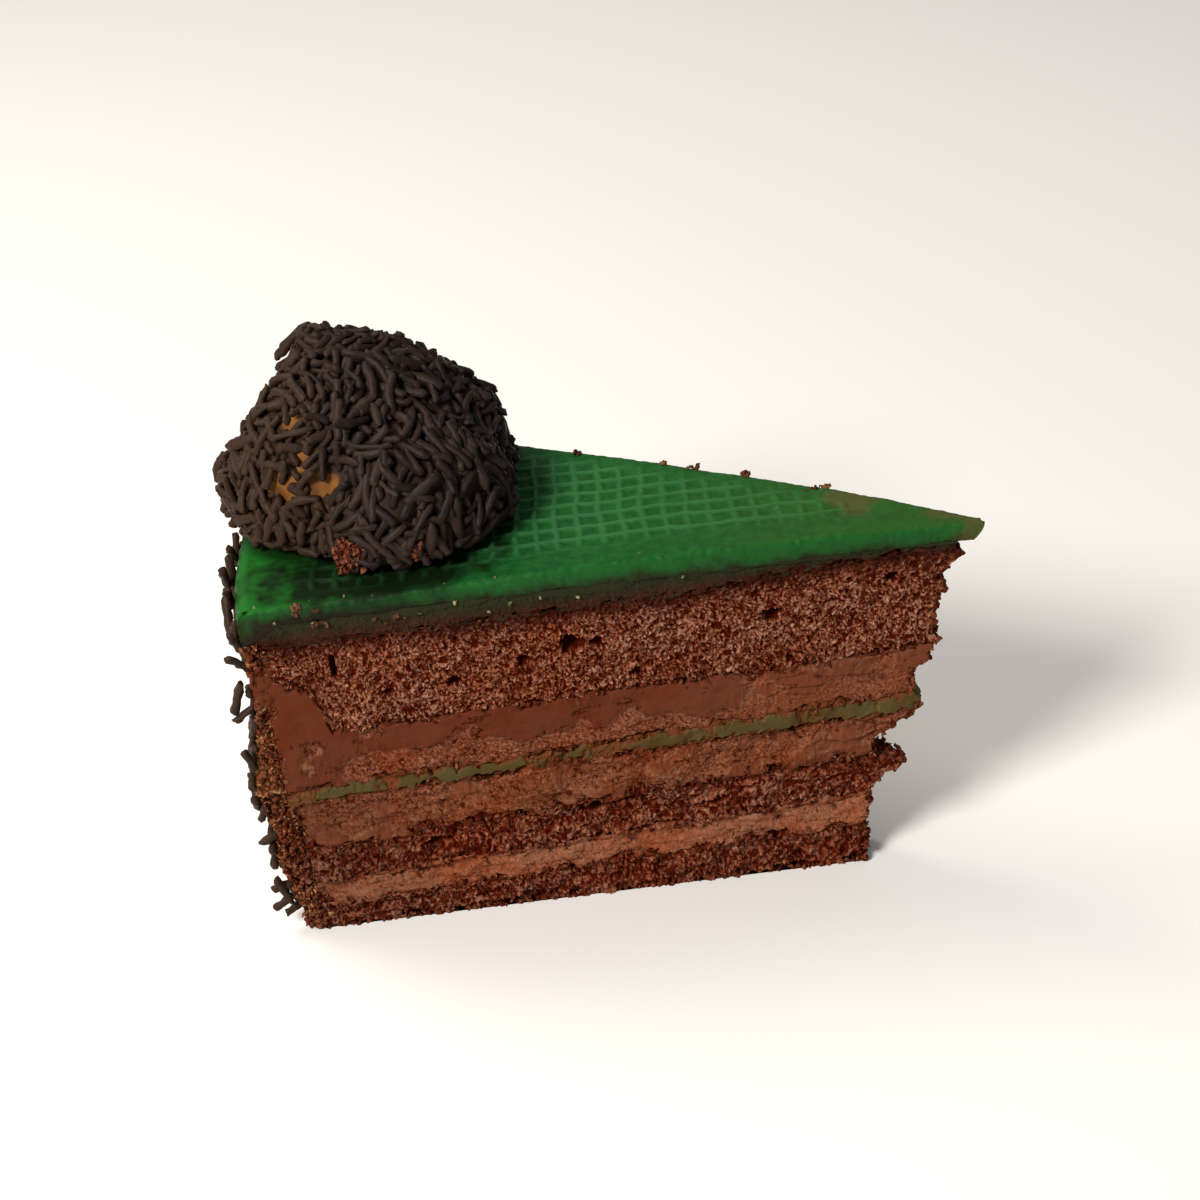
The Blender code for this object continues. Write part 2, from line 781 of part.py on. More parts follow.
def centre_on_base():
    """Move every mesh, so that the origin is the middle of the slice's box at its base."""
    items = [item for item in bpy.data.objects if item.type == "MESH"]
    corners = [vert.co for item in items for vert in item.data.vertices]
    low = Vector([min(corner[axis] for corner in corners) for axis in range(3)])
    high = Vector([max(corner[axis] for corner in corners) for axis in range(3)])
    middle = (low + high) / 2.0
    for item in items:
        item.data.transform(Matrix.Translation((-middle.x, -middle.y, -low.z)))


def shade(item):
    item.data.shade_smooth()
    item.data.set_sharp_from_angle(angle=SHARP_ANGLE)


def main():
    clear_scene()
    sponge = material("chocolate sponge", (0.145, 0.045, 0.018), 0.9)
    dark_sponge = material("dark chocolate sponge", (0.085, 0.025, 0.012), 0.9)
    cream = material("chocolate cream", (0.125, 0.032, 0.014), 0.6)
    light_cream = material("light chocolate cream", (0.190, 0.060, 0.024), 0.7)
    green = material("green marzipan", (0.012, 0.160, 0.028), 0.45)
    olive = material("pistachio marzipan", (0.060, 0.075, 0.018), 0.6)
    shadow_cream = material("cream under the cover", (0.030, 0.026, 0.010), 0.6)
    chocolate = material("chocolate sprinkles", (0.040, 0.022, 0.014), 0.5)

    layer("bottom_sponge", BASE, 2, SPONGE_ROUGHNESS, dark_sponge)
    layer("lower_cream", "bottom_sponge", 2, CREAM_ROUGHNESS, light_cream)
    layer("middle_sponge", "lower_cream", 3, SPONGE_ROUGHNESS, dark_sponge)
    layer("middle_cream", "middle_sponge", 3, CREAM_ROUGHNESS, light_cream)
    layer("green_layer", "middle_cream", 2, CREAM_ROUGHNESS, olive)
    layer("upper_cream", "green_layer", 3, CREAM_ROUGHNESS, cream)
    cut(layer("top_sponge", "upper_cream", 5, SPONGE_ROUGHNESS, sponge), bubble_cutter())
    layer("cover_cream", "top_sponge", 1, CREAM_ROUGHNESS, shadow_cream)
    marzipan_cover(green)
    side_coat(cream)
    truffle(chocolate)

    centre_on_base()
    for item in bpy.data.objects:
        shade(item)
        print(item.name, len(item.data.polygons), "faces")


main()
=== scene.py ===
# %% [markdown]
# # Dressing a slice of layered torte
# The slice is a wedge of chocolate sponge and chocolate cream under a rolled sheet of green
# marzipan. A truffle covered in chocolate sprinkles stands on its round end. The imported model
# holds one plain closed solid for each of these. Each solid is replaced here by a finely
# modelled piece of the same form, made from the same sizes, so that the cut faces show crumb,
# pores and torn cream as real geometry and not only as shading.

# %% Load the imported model
import math

import bpy
import numpy as np
from mathutils import Matrix, Vector, noise


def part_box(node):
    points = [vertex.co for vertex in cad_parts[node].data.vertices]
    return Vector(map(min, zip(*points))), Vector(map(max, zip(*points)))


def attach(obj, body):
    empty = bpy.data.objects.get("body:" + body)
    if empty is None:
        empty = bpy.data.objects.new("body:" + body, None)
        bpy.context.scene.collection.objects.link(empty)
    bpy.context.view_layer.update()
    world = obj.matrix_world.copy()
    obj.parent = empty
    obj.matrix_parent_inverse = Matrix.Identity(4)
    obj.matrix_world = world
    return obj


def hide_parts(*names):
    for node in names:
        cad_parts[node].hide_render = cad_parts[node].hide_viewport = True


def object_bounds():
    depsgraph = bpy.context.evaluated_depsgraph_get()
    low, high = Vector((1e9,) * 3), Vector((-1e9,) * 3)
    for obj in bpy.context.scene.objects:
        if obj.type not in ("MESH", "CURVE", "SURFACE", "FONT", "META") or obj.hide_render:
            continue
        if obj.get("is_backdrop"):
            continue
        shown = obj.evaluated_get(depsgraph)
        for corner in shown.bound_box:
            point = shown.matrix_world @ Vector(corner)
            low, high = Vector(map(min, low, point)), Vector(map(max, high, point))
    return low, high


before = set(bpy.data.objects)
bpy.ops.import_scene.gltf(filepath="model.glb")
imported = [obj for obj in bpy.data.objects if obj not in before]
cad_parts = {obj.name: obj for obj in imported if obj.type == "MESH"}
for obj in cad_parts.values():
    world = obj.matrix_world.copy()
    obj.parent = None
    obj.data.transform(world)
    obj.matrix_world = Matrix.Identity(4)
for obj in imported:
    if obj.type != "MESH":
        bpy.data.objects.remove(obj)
cad_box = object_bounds()
print("solids:", ", ".join(sorted(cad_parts)))
print("box in mm:", [round(1000 * side, 1) for side in cad_box[1] - cad_box[0]])

# %% [markdown]
# ## The slice's own sizes
# A slice is easiest to describe from its tip: the near cut face is the plane y = 0, the tip's
# edge is near x = 0 and the round outer side is at the far left. The solids were made in that
# frame, from the sizes below, and then moved so that the origin is under the middle of the
# slice. The tip's place in the model is read back from two solids that touch those planes.

# %% Sizes of the slice, in metres
HEIGHT = 0.0658
CAKE_RADIUS = 0.130
CAKE_CENTRE = np.array((0.0087, 0.0140))
WEDGE_ANGLE = math.radians(30.0)
APEX_PAST_TIP = 0.0032
FAR_FACE_LEAN = 0.0130
MARZIPAN_TIP = 0.0002

# How far the crumbled end stands back from the tip, by height
TIP_STANDS_BACK = (
    (0.0000, 0.0212), (0.0050, 0.0213), (0.0079, 0.0216), (0.0120, 0.0206),
    (0.0152, 0.0199), (0.0182, 0.0180), (0.0192, 0.0146), (0.0208, 0.0145),
    (0.0217, 0.0190), (0.0255, 0.0203), (0.0272, 0.0165), (0.0295, 0.0137),
    (0.0311, 0.0112), (0.0345, 0.0120), (0.0382, 0.0126), (0.0410, 0.0102),
    (0.0444, 0.0083), (0.0461, 0.0097), (0.0490, 0.0080), (0.0520, 0.0088),
    (0.0539, 0.0068), (0.0571, 0.0080), (0.0588, 0.0056), (0.0602, 0.0038),
    (0.0622, 0.0050), (0.0658, 0.0030),
)
# How far the outer side swells past the cake's radius, by height
SIDE_SWELL = (
    (0.0000, -0.0026), (0.0025, -0.0010), (0.0100, 0.0002), (0.0145, 0.0018),
    (0.0205, 0.0008), (0.0250, 0.0026), (0.0310, 0.0025), (0.0380, 0.0009),
    (0.0440, -0.0003), (0.0658, 0.0000),
)
# How far the layers stand inside the cake's radius, behind the cream coat, by height
CORE_INSET = ((0.0000, 0.0046), (0.0120, 0.0025), (0.0658, 0.0025))

# Top of each layer, from the base up: height at the outer side, and at the tip
BOUNDARIES = {
    "bottom_sponge": (0.0042, 0.0088),
    "lower_cream": (0.0094, 0.0150),
    "middle_sponge": (0.0166, 0.0236),
    "middle_cream": (0.0264, 0.0308),
    "green_layer": (0.0291, 0.0346),
    "upper_cream": (0.0398, 0.0436),
    "top_sponge": (0.0587, 0.0587),
    "cover_cream": (0.0630, 0.0630),
}
tip_corner = np.array((
    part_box("marzipan_cover")[1].x + MARZIPAN_TIP,
    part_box("side_coat")[0].y,
    0.0,
))
print("tip corner in the model, mm:", (tip_corner * 1000).round(2))

# %% [markdown]
# ## Reading a profile
# Several forms are given by a few heights and a value at each. One helper reads such a small
# table for a whole array of heights at once. A smooth step is used wherever a form fades in,
# and smooth noise wherever a form is uneven.

# %% Helpers for profiles
def between(table, value):
    """Straight-line reading of a small table of (value, result) rows."""
    return np.interp(value, [row[0] for row in table], [row[1] for row in table])


def ease(share):
    """Smooth step from 0 to 1."""
    share = np.clip(share, 0.0, 1.0)
    return share * share * (3.0 - 2.0 * share)


def noise_at(points, size, seed):
    """One number from smooth noise for each point, given as rows of three numbers."""
    flat = np.asarray(points).reshape(-1, 3) / size
    shift = Vector((seed * 3.1, seed * 1.7, seed * 5.3))
    values = [noise.noise(Vector(row) + shift) for row in flat.tolist()]
    return np.array(values).reshape(np.shape(points)[:-1])


print("the side swells most by", between(SIDE_SWELL, 0.0250) * 1000, "mm")

# %% [markdown]
# ## The wedge's outline
# At any height the outline has four sides: the near cut, the arc of the outer side, the far
# cut and the blunt tip. A point is named by its side and by how far along that side it is. The
# function also gives the level direction that points out of the cake there, which the relief
# uses later on.

# %% The outline at a height
FAR_DIRECTION = np.array((-math.cos(WEDGE_ANGLE), math.sin(WEDGE_ANGLE)))
FAR_OUTWARD = np.array((math.sin(WEDGE_ANGLE), math.cos(WEDGE_ANGLE)))


def side_radius(z):
    """Radius of the cream coat's outer surface."""
    return CAKE_RADIUS + between(SIDE_SWELL, z)


def core_radius(z):
    """Radius of the layers behind the coat."""
    return CAKE_RADIUS - between(CORE_INSET, z)


def pair(x, y):
    return np.stack(np.broadcast_arrays(x, y), axis=-1)


def near_corner(radius):
    """Where a circle about the cake's centre meets the near cut face."""
    return pair(CAKE_CENTRE[0] - np.sqrt(radius ** 2 - CAKE_CENTRE[1] ** 2), 0.0)


def far_start(z):
    """The far cut face's point on the near face's line, at one height."""
    return pair(APEX_PAST_TIP - FAR_FACE_LEAN * (1.0 - z / HEIGHT), 0.0)


def far_corner(radius, z):
    """Where a circle about the cake's centre meets the far cut face."""
    start = far_start(z)
    offset = start - CAKE_CENTRE
    half = offset @ FAR_DIRECTION
    reach = -half + np.sqrt(half ** 2 - (offset ** 2).sum(-1) + radius ** 2)
    return start + reach[..., None] * FAR_DIRECTION


def turn_of(plan):
    """Direction of a plan point, as an angle about the cake's centre."""
    offset = plan - CAKE_CENTRE
    return np.arctan2(offset[..., 1], offset[..., 0]) % math.tau


def arc_point(along, radius, z):
    """A point of a circle about the cake's centre, from the near face to the far face."""
    first = turn_of(near_corner(radius))
    last = turn_of(far_corner(radius, z))
    angle = first + (last - first) * along
    outward = pair(np.cos(angle), np.sin(angle))
    return CAKE_CENTRE + outward * np.asarray(radius)[..., None], outward


def outline_point(side, along, z, radius, stands_back):
    """Plan points of one side of the outline, and the directions that point out of it."""
    start = far_start(z)
    near_tip = pair(-stands_back, 0.0)
    reach = (stands_back + start[..., 0]) / math.cos(WEDGE_ANGLE)
    far_tip = start + FAR_DIRECTION * reach[..., None]
    share = np.broadcast_to(along, reach.shape)[..., None]
    if side == "near":
        return near_tip + (near_corner(radius) - near_tip) * share, np.array((0.0, -1.0))
    if side == "arc":
        return arc_point(along, radius, z)
    if side == "far":
        corner = far_corner(radius, z)
        return corner + (far_tip - corner) * share, FAR_OUTWARD
    return far_tip + (near_tip - far_tip) * share, np.array((1.0, 0.0))


print("near face, mm:", (near_corner(CAKE_RADIUS) * 1000).round(1))

# %% [markdown]
# ## Where the layers meet
# A baker spreads each layer by hand, so no boundary is flat. Each one rises from the outer
# side to the tip, with a slow wave that the solids share. The upper cream also climbs the
# outer side, where it was pulled up with the coat. A finer ragged wave is added here, because
# on a real cut the crumb and the cream bite into each other.

# %% Heights of the boundaries
WAVE_HEIGHT = 0.0005
WAVE_LENGTH = 0.016
WAVE_SEED_STEP = 3.7
SPONGE_RISE_AT_TIP = 0.0028
SPONGE_RISE_START = 0.60
SPONGE_RISE_END = 0.87
CREAM_CLIMB = ((0.0000, 0.0130), (0.0035, 0.0105), (0.0068, 0.0085), (0.0102, 0.0000))
RAGGED = ((0.0042, 0.00080), (0.0016, 0.00070), (0.0008, 0.00035))


def boundary(name, plan):
    """Heights of the surface on top of the named layer, over plan points."""
    if name == "base":
        return np.zeros(len(plan))
    at_side, at_tip = BOUNDARIES[name]
    seed = WAVE_SEED_STEP * list(BOUNDARIES).index(name)
    if name == "cover_cream":
        return np.full(len(plan), at_side)
    towards_tip = 1.0 - np.linalg.norm(plan, axis=-1) / CAKE_RADIUS
    height = at_side + (at_tip - at_side) * towards_tip
    wave = [noise.noise(Vector((x, y, seed))) for x, y in plan / WAVE_LENGTH]
    height = height + WAVE_HEIGHT * np.array(wave)
    for length, amount in RAGGED:
        fine = [noise.noise(Vector((x, y, seed + 1.0))) for x, y in plan / length]
        height = height + amount * np.array(fine)
    if name == "top_sponge":
        span = SPONGE_RISE_END - SPONGE_RISE_START
        height += SPONGE_RISE_AT_TIP * ease((towards_tip - SPONGE_RISE_START) / span)
    if name == "upper_cream":
        behind_coat = core_radius(at_side) - np.linalg.norm(plan - CAKE_CENTRE, axis=-1)
        height += between(CREAM_CLIMB, np.maximum(behind_coat, 0.0))
    return height


print("cream climbs", CREAM_CLIMB[0][1] * 1000, "mm up the outer side")

# %% [markdown]
# ## Stations round the outline
# The near face gets a point every 0.2 mm, because a crumb is under a millimetre wide and needs
# a few points across it. The far face is seen from further off and gets fewer. The side behind
# the coat is hidden and gets very few. Every layer uses the same stations, so that neighbours
# meet in the same places.

# %% Stations and boundary heights
STEPS = {"near": 640, "arc": 20, "far": 220, "tip": 40}
ROW_HEIGHT = 0.00018


def station_shares(side):
    return np.arange(STEPS[side]) / STEPS[side]


top_plan = np.concatenate([
    outline_point(
        side,
        station_shares(side),
        np.full(STEPS[side], HEIGHT),
        np.full(STEPS[side], core_radius(HEIGHT)),
        np.full(STEPS[side], MARZIPAN_TIP),
    )[0]
    for side in STEPS
])
heights = {name: boundary(name, top_plan) for name in ("base", *BOUNDARIES)}
side_of_station = np.concatenate([[side] * STEPS[side] for side in STEPS])
print(len(top_plan), "stations,", len(heights), "boundaries")

# %% [markdown]
# ## Turning rings into a closed piece
# A layer is a stack of rings, from its floor to its roof, closed by caps that step inwards to
# a middle point. The caps are hidden between neighbours, but they keep the piece a true solid.
# Its volume is worked out from the faces: a positive number shows that the faces point out.

# %% Mesh helpers
def ring_faces(count, lower_start, upper_start):
    """Four-sided faces between two rings that run clockwise seen from above."""
    step = np.arange(count)
    after = (step + 1) % count
    return np.stack([
        lower_start + step, upper_start + step, upper_start + after, lower_start + after,
    ], axis=1)


def add_piece(name, points, faces):
    """Make a mesh object from points in the slice's frame. It sits at the origin."""
    mesh = bpy.data.meshes.new(name)
    mesh.from_pydata((points + tip_corner).tolist(), [], faces)
    mesh.update()
    item = bpy.data.objects.new(name, mesh)
    bpy.context.scene.collection.objects.link(item)
    return item


def add_attribute(item, name, values):
    """Give every point of the mesh a number or a direction."""
    values = np.ascontiguousarray(values, dtype=np.float32)
    kind, field = ("FLOAT", "value") if values.ndim == 1 else ("FLOAT_VECTOR", "vector")
    made = item.data.attributes.new(name, kind, "POINT")
    made.data.foreach_set(field, values.ravel())


def volume_of(item):
    """Volume inside the mesh, in cubic centimetres."""
    mesh = item.data
    mesh.calc_loop_triangles()
    corners = np.empty(len(mesh.loop_triangles) * 3, dtype=np.int32)
    mesh.loop_triangles.foreach_get("vertices", corners)
    places = np.empty(len(mesh.vertices) * 3)
    mesh.vertices.foreach_get("co", places)
    a, b, c = places.reshape(-1, 3)[corners.reshape(-1, 3)].transpose(1, 0, 2)
    return float(np.einsum("ij,ij->i", a, np.cross(b, c)).sum() / 6.0 * 1e6)


print("helpers ready")

# %% [markdown]
# ## One layer
# Each row of the wall is drawn at its share of the way from floor to roof. Besides its place,
# every point keeps the direction out of the cake, a mark that says how freely the relief may
# move it, any listed hollow, and marks worked out from its height within the layer. The relief
# and the materials read these marks later.

# %% Build a layer's wall and caps
CAP_SHARES = (0.97, 0.92, 0.84, 0.5)
OVERLAP = 0.0003
CREASE_DEPTH = 0.0011
CREASE_REACH = 0.0009
CREASE_SIZE = 0.0036
CREASE_OPEN = 0.10
CREASE_CONTRAST = 2.4
TIP_CRAGS = ((0.0034, 0.0009), (0.0013, 0.0006))


def tip_back(z):
    """How far the crumbled end stands back, with small crags."""
    back = between(TIP_STANDS_BACK, z)
    for length, amount in TIP_CRAGS:
        flat = [noise.noise(Vector((0.0, 7.0, value / length))) for value in z.ravel()]
        back = back + amount * np.array(flat).reshape(z.shape)
    return np.maximum(back, MARZIPAN_TIP * 2.0)


def wall_rows(floor, roof, rows):
    """Places and outward directions of a layer's wall, one row for each height."""
    share = np.linspace(0.0, 1.0, rows + 1)[:, None]
    places = []
    outwards = []
    start = 0
    for side, count in STEPS.items():
        low = floor[start:start + count]
        high = roof[start:start + count]
        z = low + (high - low) * share
        along = np.broadcast_to(station_shares(side), z.shape)
        plan, outward = outline_point(side, along, z, core_radius(z), tip_back(z))
        places.append(np.concatenate([plan, z[..., None]], axis=-1))
        level = np.zeros(z.shape + (3,))
        level[..., :2] = outward
        outwards.append(level)
        start += count
    return np.concatenate(places, axis=1), np.concatenate(outwards, axis=1)


def cap_rings(ring, surface):
    """Rings that step from a wall's edge to its middle over a boundary."""
    middle = ring.mean(axis=0)
    rings = []
    for share in (*CAP_SHARES, 0.0):
        inner = middle + (ring - middle) * share
        if share == 0.0:
            inner = inner[:1]
        inner[:, 2] = boundary(surface, inner[:, :2])
        rings.append(inner)
    return rings


def closed_solid(walls, under, over):
    """Points and faces of stacked rings that are closed by caps below and above."""
    rows, count = walls.shape[:2]
    points = [walls.reshape(-1, 3)]
    faces = [ring_faces(count, row * count, (row + 1) * count) for row in range(rows - 1)]
    fans = []
    filled = rows * count
    for rings, edge, upwards in ((under, 0, False), (over, (rows - 1) * count, True)):
        for ring in rings[:-1]:
            points.append(ring)
            lower, upper = (edge, filled) if upwards else (filled, edge)
            faces.append(ring_faces(count, lower, upper))
            edge = filled
            filled += count
        points.append(rings[-1])
        step = np.arange(count)
        after = (step + 1) % count
        first, second = (after, step) if upwards else (step, after)
        fan = np.stack([edge + first, edge + second, np.full(count, filled)], axis=1)
        fans.append(fan)
        filled += 1
    return np.concatenate(points), np.concatenate(faces).tolist() + np.concatenate(fans).tolist()


def near_hollows(hollows):
    """A mark that says how far the listed hollows sink the near face."""
    def sink(walls, rise):
        depth = np.zeros(rise.shape)
        near = side_of_station == "near"
        for hollow in hollows:
            depth[:, near] = np.minimum(depth[:, near], hollow(walls[:, near]))
        return depth
    return sink


def no_mark(walls, rise):
    return np.zeros(rise.shape)


def crease(walls, rise, name):
    """Layers meet in a crease that is deep in some places and closed in others."""
    thick = walls[-1, :, 2] - walls[0, :, 2]
    upper_pair = name in ("top_sponge", "cover_cream")
    to_edge = (rise if upper_pair else np.minimum(rise, 1.0 - rise)) * thick
    open_share = ease(CREASE_OPEN + CREASE_CONTRAST * noise_at(walls, CREASE_SIZE, 31.0))
    return -CREASE_DEPTH * open_share * (1.0 - ease(to_edge / CREASE_REACH))


def build_layer(piece_name, name, below, sunk=no_mark, bias=no_mark, stain_and_shade=no_mark):
    """One layer of the cake as a closed piece, with the marks that the relief reads."""
    floor = heights[below] - (OVERLAP if below != "base" else 0.0)
    roof = heights[name]
    rows = max(4, int(round((roof - floor).mean() / ROW_HEIGHT)))
    walls, outwards = wall_rows(floor, roof, rows)
    points, faces = closed_solid(walls, cap_rings(walls[0], below), cap_rings(walls[-1], name))
    item = add_piece(piece_name, points, faces)
    grid = walls.shape[:2]
    spare = len(points) - grid[0] * grid[1]
    rise = np.broadcast_to(np.linspace(0.0, 1.0, rows + 1)[:, None], grid)
    free = np.broadcast_to(side_of_station != "arc", grid).astype(float)
    outwards = np.concatenate([outwards.reshape(-1, 3), np.zeros((spare, 3))])
    add_attribute(item, "outward", outwards)
    marks = {
        "free": free,
        "sunk": sunk(walls, rise) + free * crease(walls, rise, name),
        "bias": bias(walls, rise),
        "stain_and_shade": stain_and_shade(walls, rise),
    }
    for mark, values in marks.items():
        filler = 0.0 if mark == "free" else values[-1].mean()
        add_attribute(item, mark, np.concatenate([values.ravel(), np.full(spare, filler)]))
    print(piece_name, len(faces), "faces,", round(volume_of(item), 2), "cm3")
    return item


print("layer builder ready")

# %% [markdown]
# ## Node trees written in script
# Geometry trees shape the relief and lay the sprinkles, and shader trees colour them. Both are
# long when written out by hand. One small helper adds any node with its settings and links,
# so a tree reads as a list of steps.

# %% One helper for every node
# Settings that many nodes share
ADD, SUBTRACT, MULTIPLY, DIVIDE, MULTIPLY_ADD, SCALE, COMPARE = (
    {"operation": name} for name in (
        "ADD", "SUBTRACT", "MULTIPLY", "DIVIDE", "MULTIPLY_ADD", "SCALE", "COMPARE"))
CLAMPED_ADD = {"operation": "ADD", "use_clamp": True}
SMOOTH = {"interpolation_type": "SMOOTHSTEP"}
UNCLAMPED = {"clamp": False}
NUMBERS = {"data_type": "FLOAT"}
COLOURS = {"data_type": "RGBA"}
SEEDED = {"noise_dimensions": "4D"}
MIDDLE_GREY = (0.5, 0.5, 0.5)


def add_node(tree, kind, settings=None, inputs=None):
    """Add a node with its settings, and feed its inputs from values, nodes or sockets."""
    made = tree.nodes.new(kind)
    for name, value in (settings or {}).items():
        setattr(made, name, value)
    for name, value in (inputs or {}).items():
        socket = made.inputs[name]
        if isinstance(value, bpy.types.Node):
            value = value.outputs[0]
        if isinstance(value, bpy.types.NodeSocket):
            tree.links.new(value, socket)
        else:
            socket.default_value = value
    return made


def start_tree(name, sizes):
    """A geometry tree with a named number input for each size, and one for the finish."""
    tree = bpy.data.node_groups.new(name, "GeometryNodeTree")
    tree.interface.new_socket("Geometry", in_out="INPUT", socket_type="NodeSocketGeometry")
    for title in sizes:
        tree.interface.new_socket(title, in_out="INPUT", socket_type="NodeSocketFloat")
    tree.interface.new_socket("Finish", in_out="INPUT", socket_type="NodeSocketMaterial")
    tree.interface.new_socket("Geometry", in_out="OUTPUT", socket_type="NodeSocketGeometry")
    return tree, add_node(tree, "NodeGroupInput").outputs


def end_tree(tree, geometry, finish):
    """Every tree ends the same way: real geometry with its material set."""
    solid = add_node(tree, "GeometryNodeRealizeInstances", inputs={"Geometry": geometry})
    painted = add_node(
        tree, "GeometryNodeSetMaterial", inputs={"Geometry": solid, "Material": finish})
    add_node(tree, "NodeGroupOutput", inputs={"Geometry": painted})


def push_by_noise(tree, geometry, pattern, amount):
    """Move each point by a noise's colour, read as a direction about its middle grey."""
    way = add_node(tree, "ShaderNodeVectorMath", SUBTRACT, {
        0: pattern.outputs["Color"], 1: MIDDLE_GREY})
    offset = add_node(tree, "ShaderNodeVectorMath", SCALE, {0: way, "Scale": amount})
    return add_node(tree, "GeometryNodeSetPosition", inputs={
        "Geometry": geometry, "Offset": offset})


def keep_in_box(mesh):
    """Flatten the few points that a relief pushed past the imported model's box."""
    places = np.empty(len(mesh.vertices) * 3)
    mesh.vertices.foreach_get("co", places)
    kept = np.clip(places.reshape(-1, 3), np.array(cad_box[0]), np.array(cad_box[1]))
    mesh.vertices.foreach_set("co", kept.ravel())
    mesh.update()


def run_tree(item, tree, values):
    """Run a tree on an object with its named inputs set, and keep the plain mesh."""
    modifier = item.modifiers.new(tree.name, "NODES")
    modifier.node_group = tree
    for socket in tree.interface.items_tree:
        if socket.in_out == "INPUT" and socket.name in values:
            modifier[socket.identifier] = values[socket.name]
    seen = item.evaluated_get(bpy.context.evaluated_depsgraph_get())
    made = bpy.data.meshes.new_from_object(seen)
    item.modifiers.clear()
    item.data = made
    keep_in_box(made)
    made.shade_smooth()
    print(item.name, "after", tree.name, len(made.polygons), "faces")


print("tree helpers ready")

# %% [markdown]
# ## Relief of a torn cut
# A knife drags through a soft cake. Sponge tears between its bubbles into crumbs with dark
# gaps. Cream smears where the blade slid and tears into grains where it stuck. One tree makes
# both: a slow wave, crumbs and pores where the surface is torn, drag lines where it isn't, and
# a few level cracks. It also leaves two marks for the material: a tone mark from how high a
# point stands, which paints shade into gaps, pores, cracks and hollows and a highlight onto
# crests, and how torn the place is ("torn").

# %% The relief tree
RELIEF_SIZES = (
    "Wave size", "Wave height", "Wall size", "Wall depth", "Grain size", "Grain depth",
    "Pore spacing", "Pore share", "Pore depth", "Torn share", "Torn size", "Fibre depth",
    "Crack depth", "Streak depth", "Nudge", "Cracked", "Seed",
)
# Of each even noise: its detail and its distortion
EVEN_NOISES = {
    "Wave size": (1.0, 0.0), "Wall size": (1.2, 0.9), "Grain size": (1.0, 0.0),
    "Torn size": (4.0, 0.2),
}
# Of each drawn-out noise: its scale along x, y and z, its detail and its distortion
DRAWN_NOISES = {
    "fibre": ((1700.0, 1700.0, 480.0), 1.0, 0.0),
    "crack": ((75.0, 75.0, 420.0), 4.0, 0.5),
    "streak": ((190.0, 190.0, 480.0), 2.0, 0.3),
}
NOISE_MIDDLE = 0.5
WAVE_CREST = 0.75
# Crumbs: the distances from a wall, in the noise, where the dip starts and where it is full
WALL_START, WALL_FULL = 0.002, 0.125
WALL_POWER = 0.54
# Plates between cracks: how wide a crack is in the noise, and how low the plates lie
PLATE_EDGE = 0.040
PLATE_DIP = -0.36
PORE_FLOOR, PORE_RIM = 0.10, 0.25
# The values of a noise that give a full dip and none
DIP_RANGES = {"Grain size": (0.35, 0.65), "fibre": (0.38, 0.62), "streak": (0.34, 0.60)}

tree, given = start_tree("torn relief", RELIEF_SIZES)
place = add_node(tree, "GeometryNodeInputPosition")
mark_of = {}
for name, kind in (
    ("bias", "FLOAT"), ("free", "FLOAT"), ("sunk", "FLOAT"), ("outward", "FLOAT_VECTOR"),
):
    mark_of[name] = add_node(tree, "GeometryNodeInputNamedAttribute", {"data_type": kind}, {
        "Name": name})
noises = {}
for name, (detail, distortion) in EVEN_NOISES.items():
    scale = add_node(tree, "ShaderNodeMath", DIVIDE, {0: 1.0, 1: given[name]})
    noises[name] = add_node(tree, "ShaderNodeTexNoise", SEEDED, {
        "Vector": place, "W": given["Seed"], "Scale": scale, "Detail": detail,
        "Distortion": distortion})
for name, (scales, detail, distortion) in DRAWN_NOISES.items():
    drawn_out = add_node(tree, "ShaderNodeVectorMath", MULTIPLY, {0: place, 1: scales})
    noises[name] = add_node(tree, "ShaderNodeTexNoise", SEEDED, {
        "Vector": drawn_out, "W": given["Seed"], "Scale": 1.0, "Detail": detail,
        "Distortion": distortion})
dips = {}
for name, (low, high) in DIP_RANGES.items():
    dips[name] = add_node(tree, "ShaderNodeMapRange", {}, {
        "Value": noises[name], "From Min": low, "From Max": high, "To Min": -1.0,
        "To Max": 0.0})
wave_push = add_node(tree, "ShaderNodeMapRange", UNCLAMPED, {
    "Value": noises["Wave size"], "From Min": NOISE_MIDDLE, "From Max": WAVE_CREST,
    "To Min": 0.0, "To Max": given["Wave height"]})
from_middle = add_node(tree, "ShaderNodeMath", SUBTRACT, {
    0: noises["Wall size"], 1: NOISE_MIDDLE})
off_wall = add_node(tree, "ShaderNodeMath", {"operation": "ABSOLUTE"}, {0: from_middle})
off_share = add_node(tree, "ShaderNodeMapRange", {}, {
    "Value": off_wall, "From Min": WALL_START, "From Max": WALL_FULL})
thinned = add_node(tree, "ShaderNodeMath", {"operation": "POWER"}, {
    0: off_share, 1: WALL_POWER})
crumb_dip = add_node(tree, "ShaderNodeMath", MULTIPLY, {0: thinned, 1: -1.0})
plate_dip = add_node(tree, "ShaderNodeMapRange", SMOOTH, {
    "Value": off_wall, "From Min": 0.0, "From Max": PLATE_EDGE, "To Min": -1.0,
    "To Max": PLATE_DIP})
wall_dip = add_node(tree, "ShaderNodeMix", NUMBERS, {
    0: given["Cracked"], 2: crumb_dip, 3: plate_dip})
pore_scale = add_node(tree, "ShaderNodeMath", DIVIDE, {0: 1.0, 1: given["Pore spacing"]})
pores = add_node(tree, "ShaderNodeTexVoronoi", inputs={"Vector": place, "Scale": pore_scale})
pore_dip = add_node(tree, "ShaderNodeMapRange", SMOOTH, {
    "Value": pores, "From Min": PORE_FLOOR, "From Max": PORE_RIM, "To Min": -1.0,
    "To Max": 0.0})
pore_parts = add_node(tree, "ShaderNodeSeparateXYZ", inputs={"Vector": pores.outputs["Color"]})
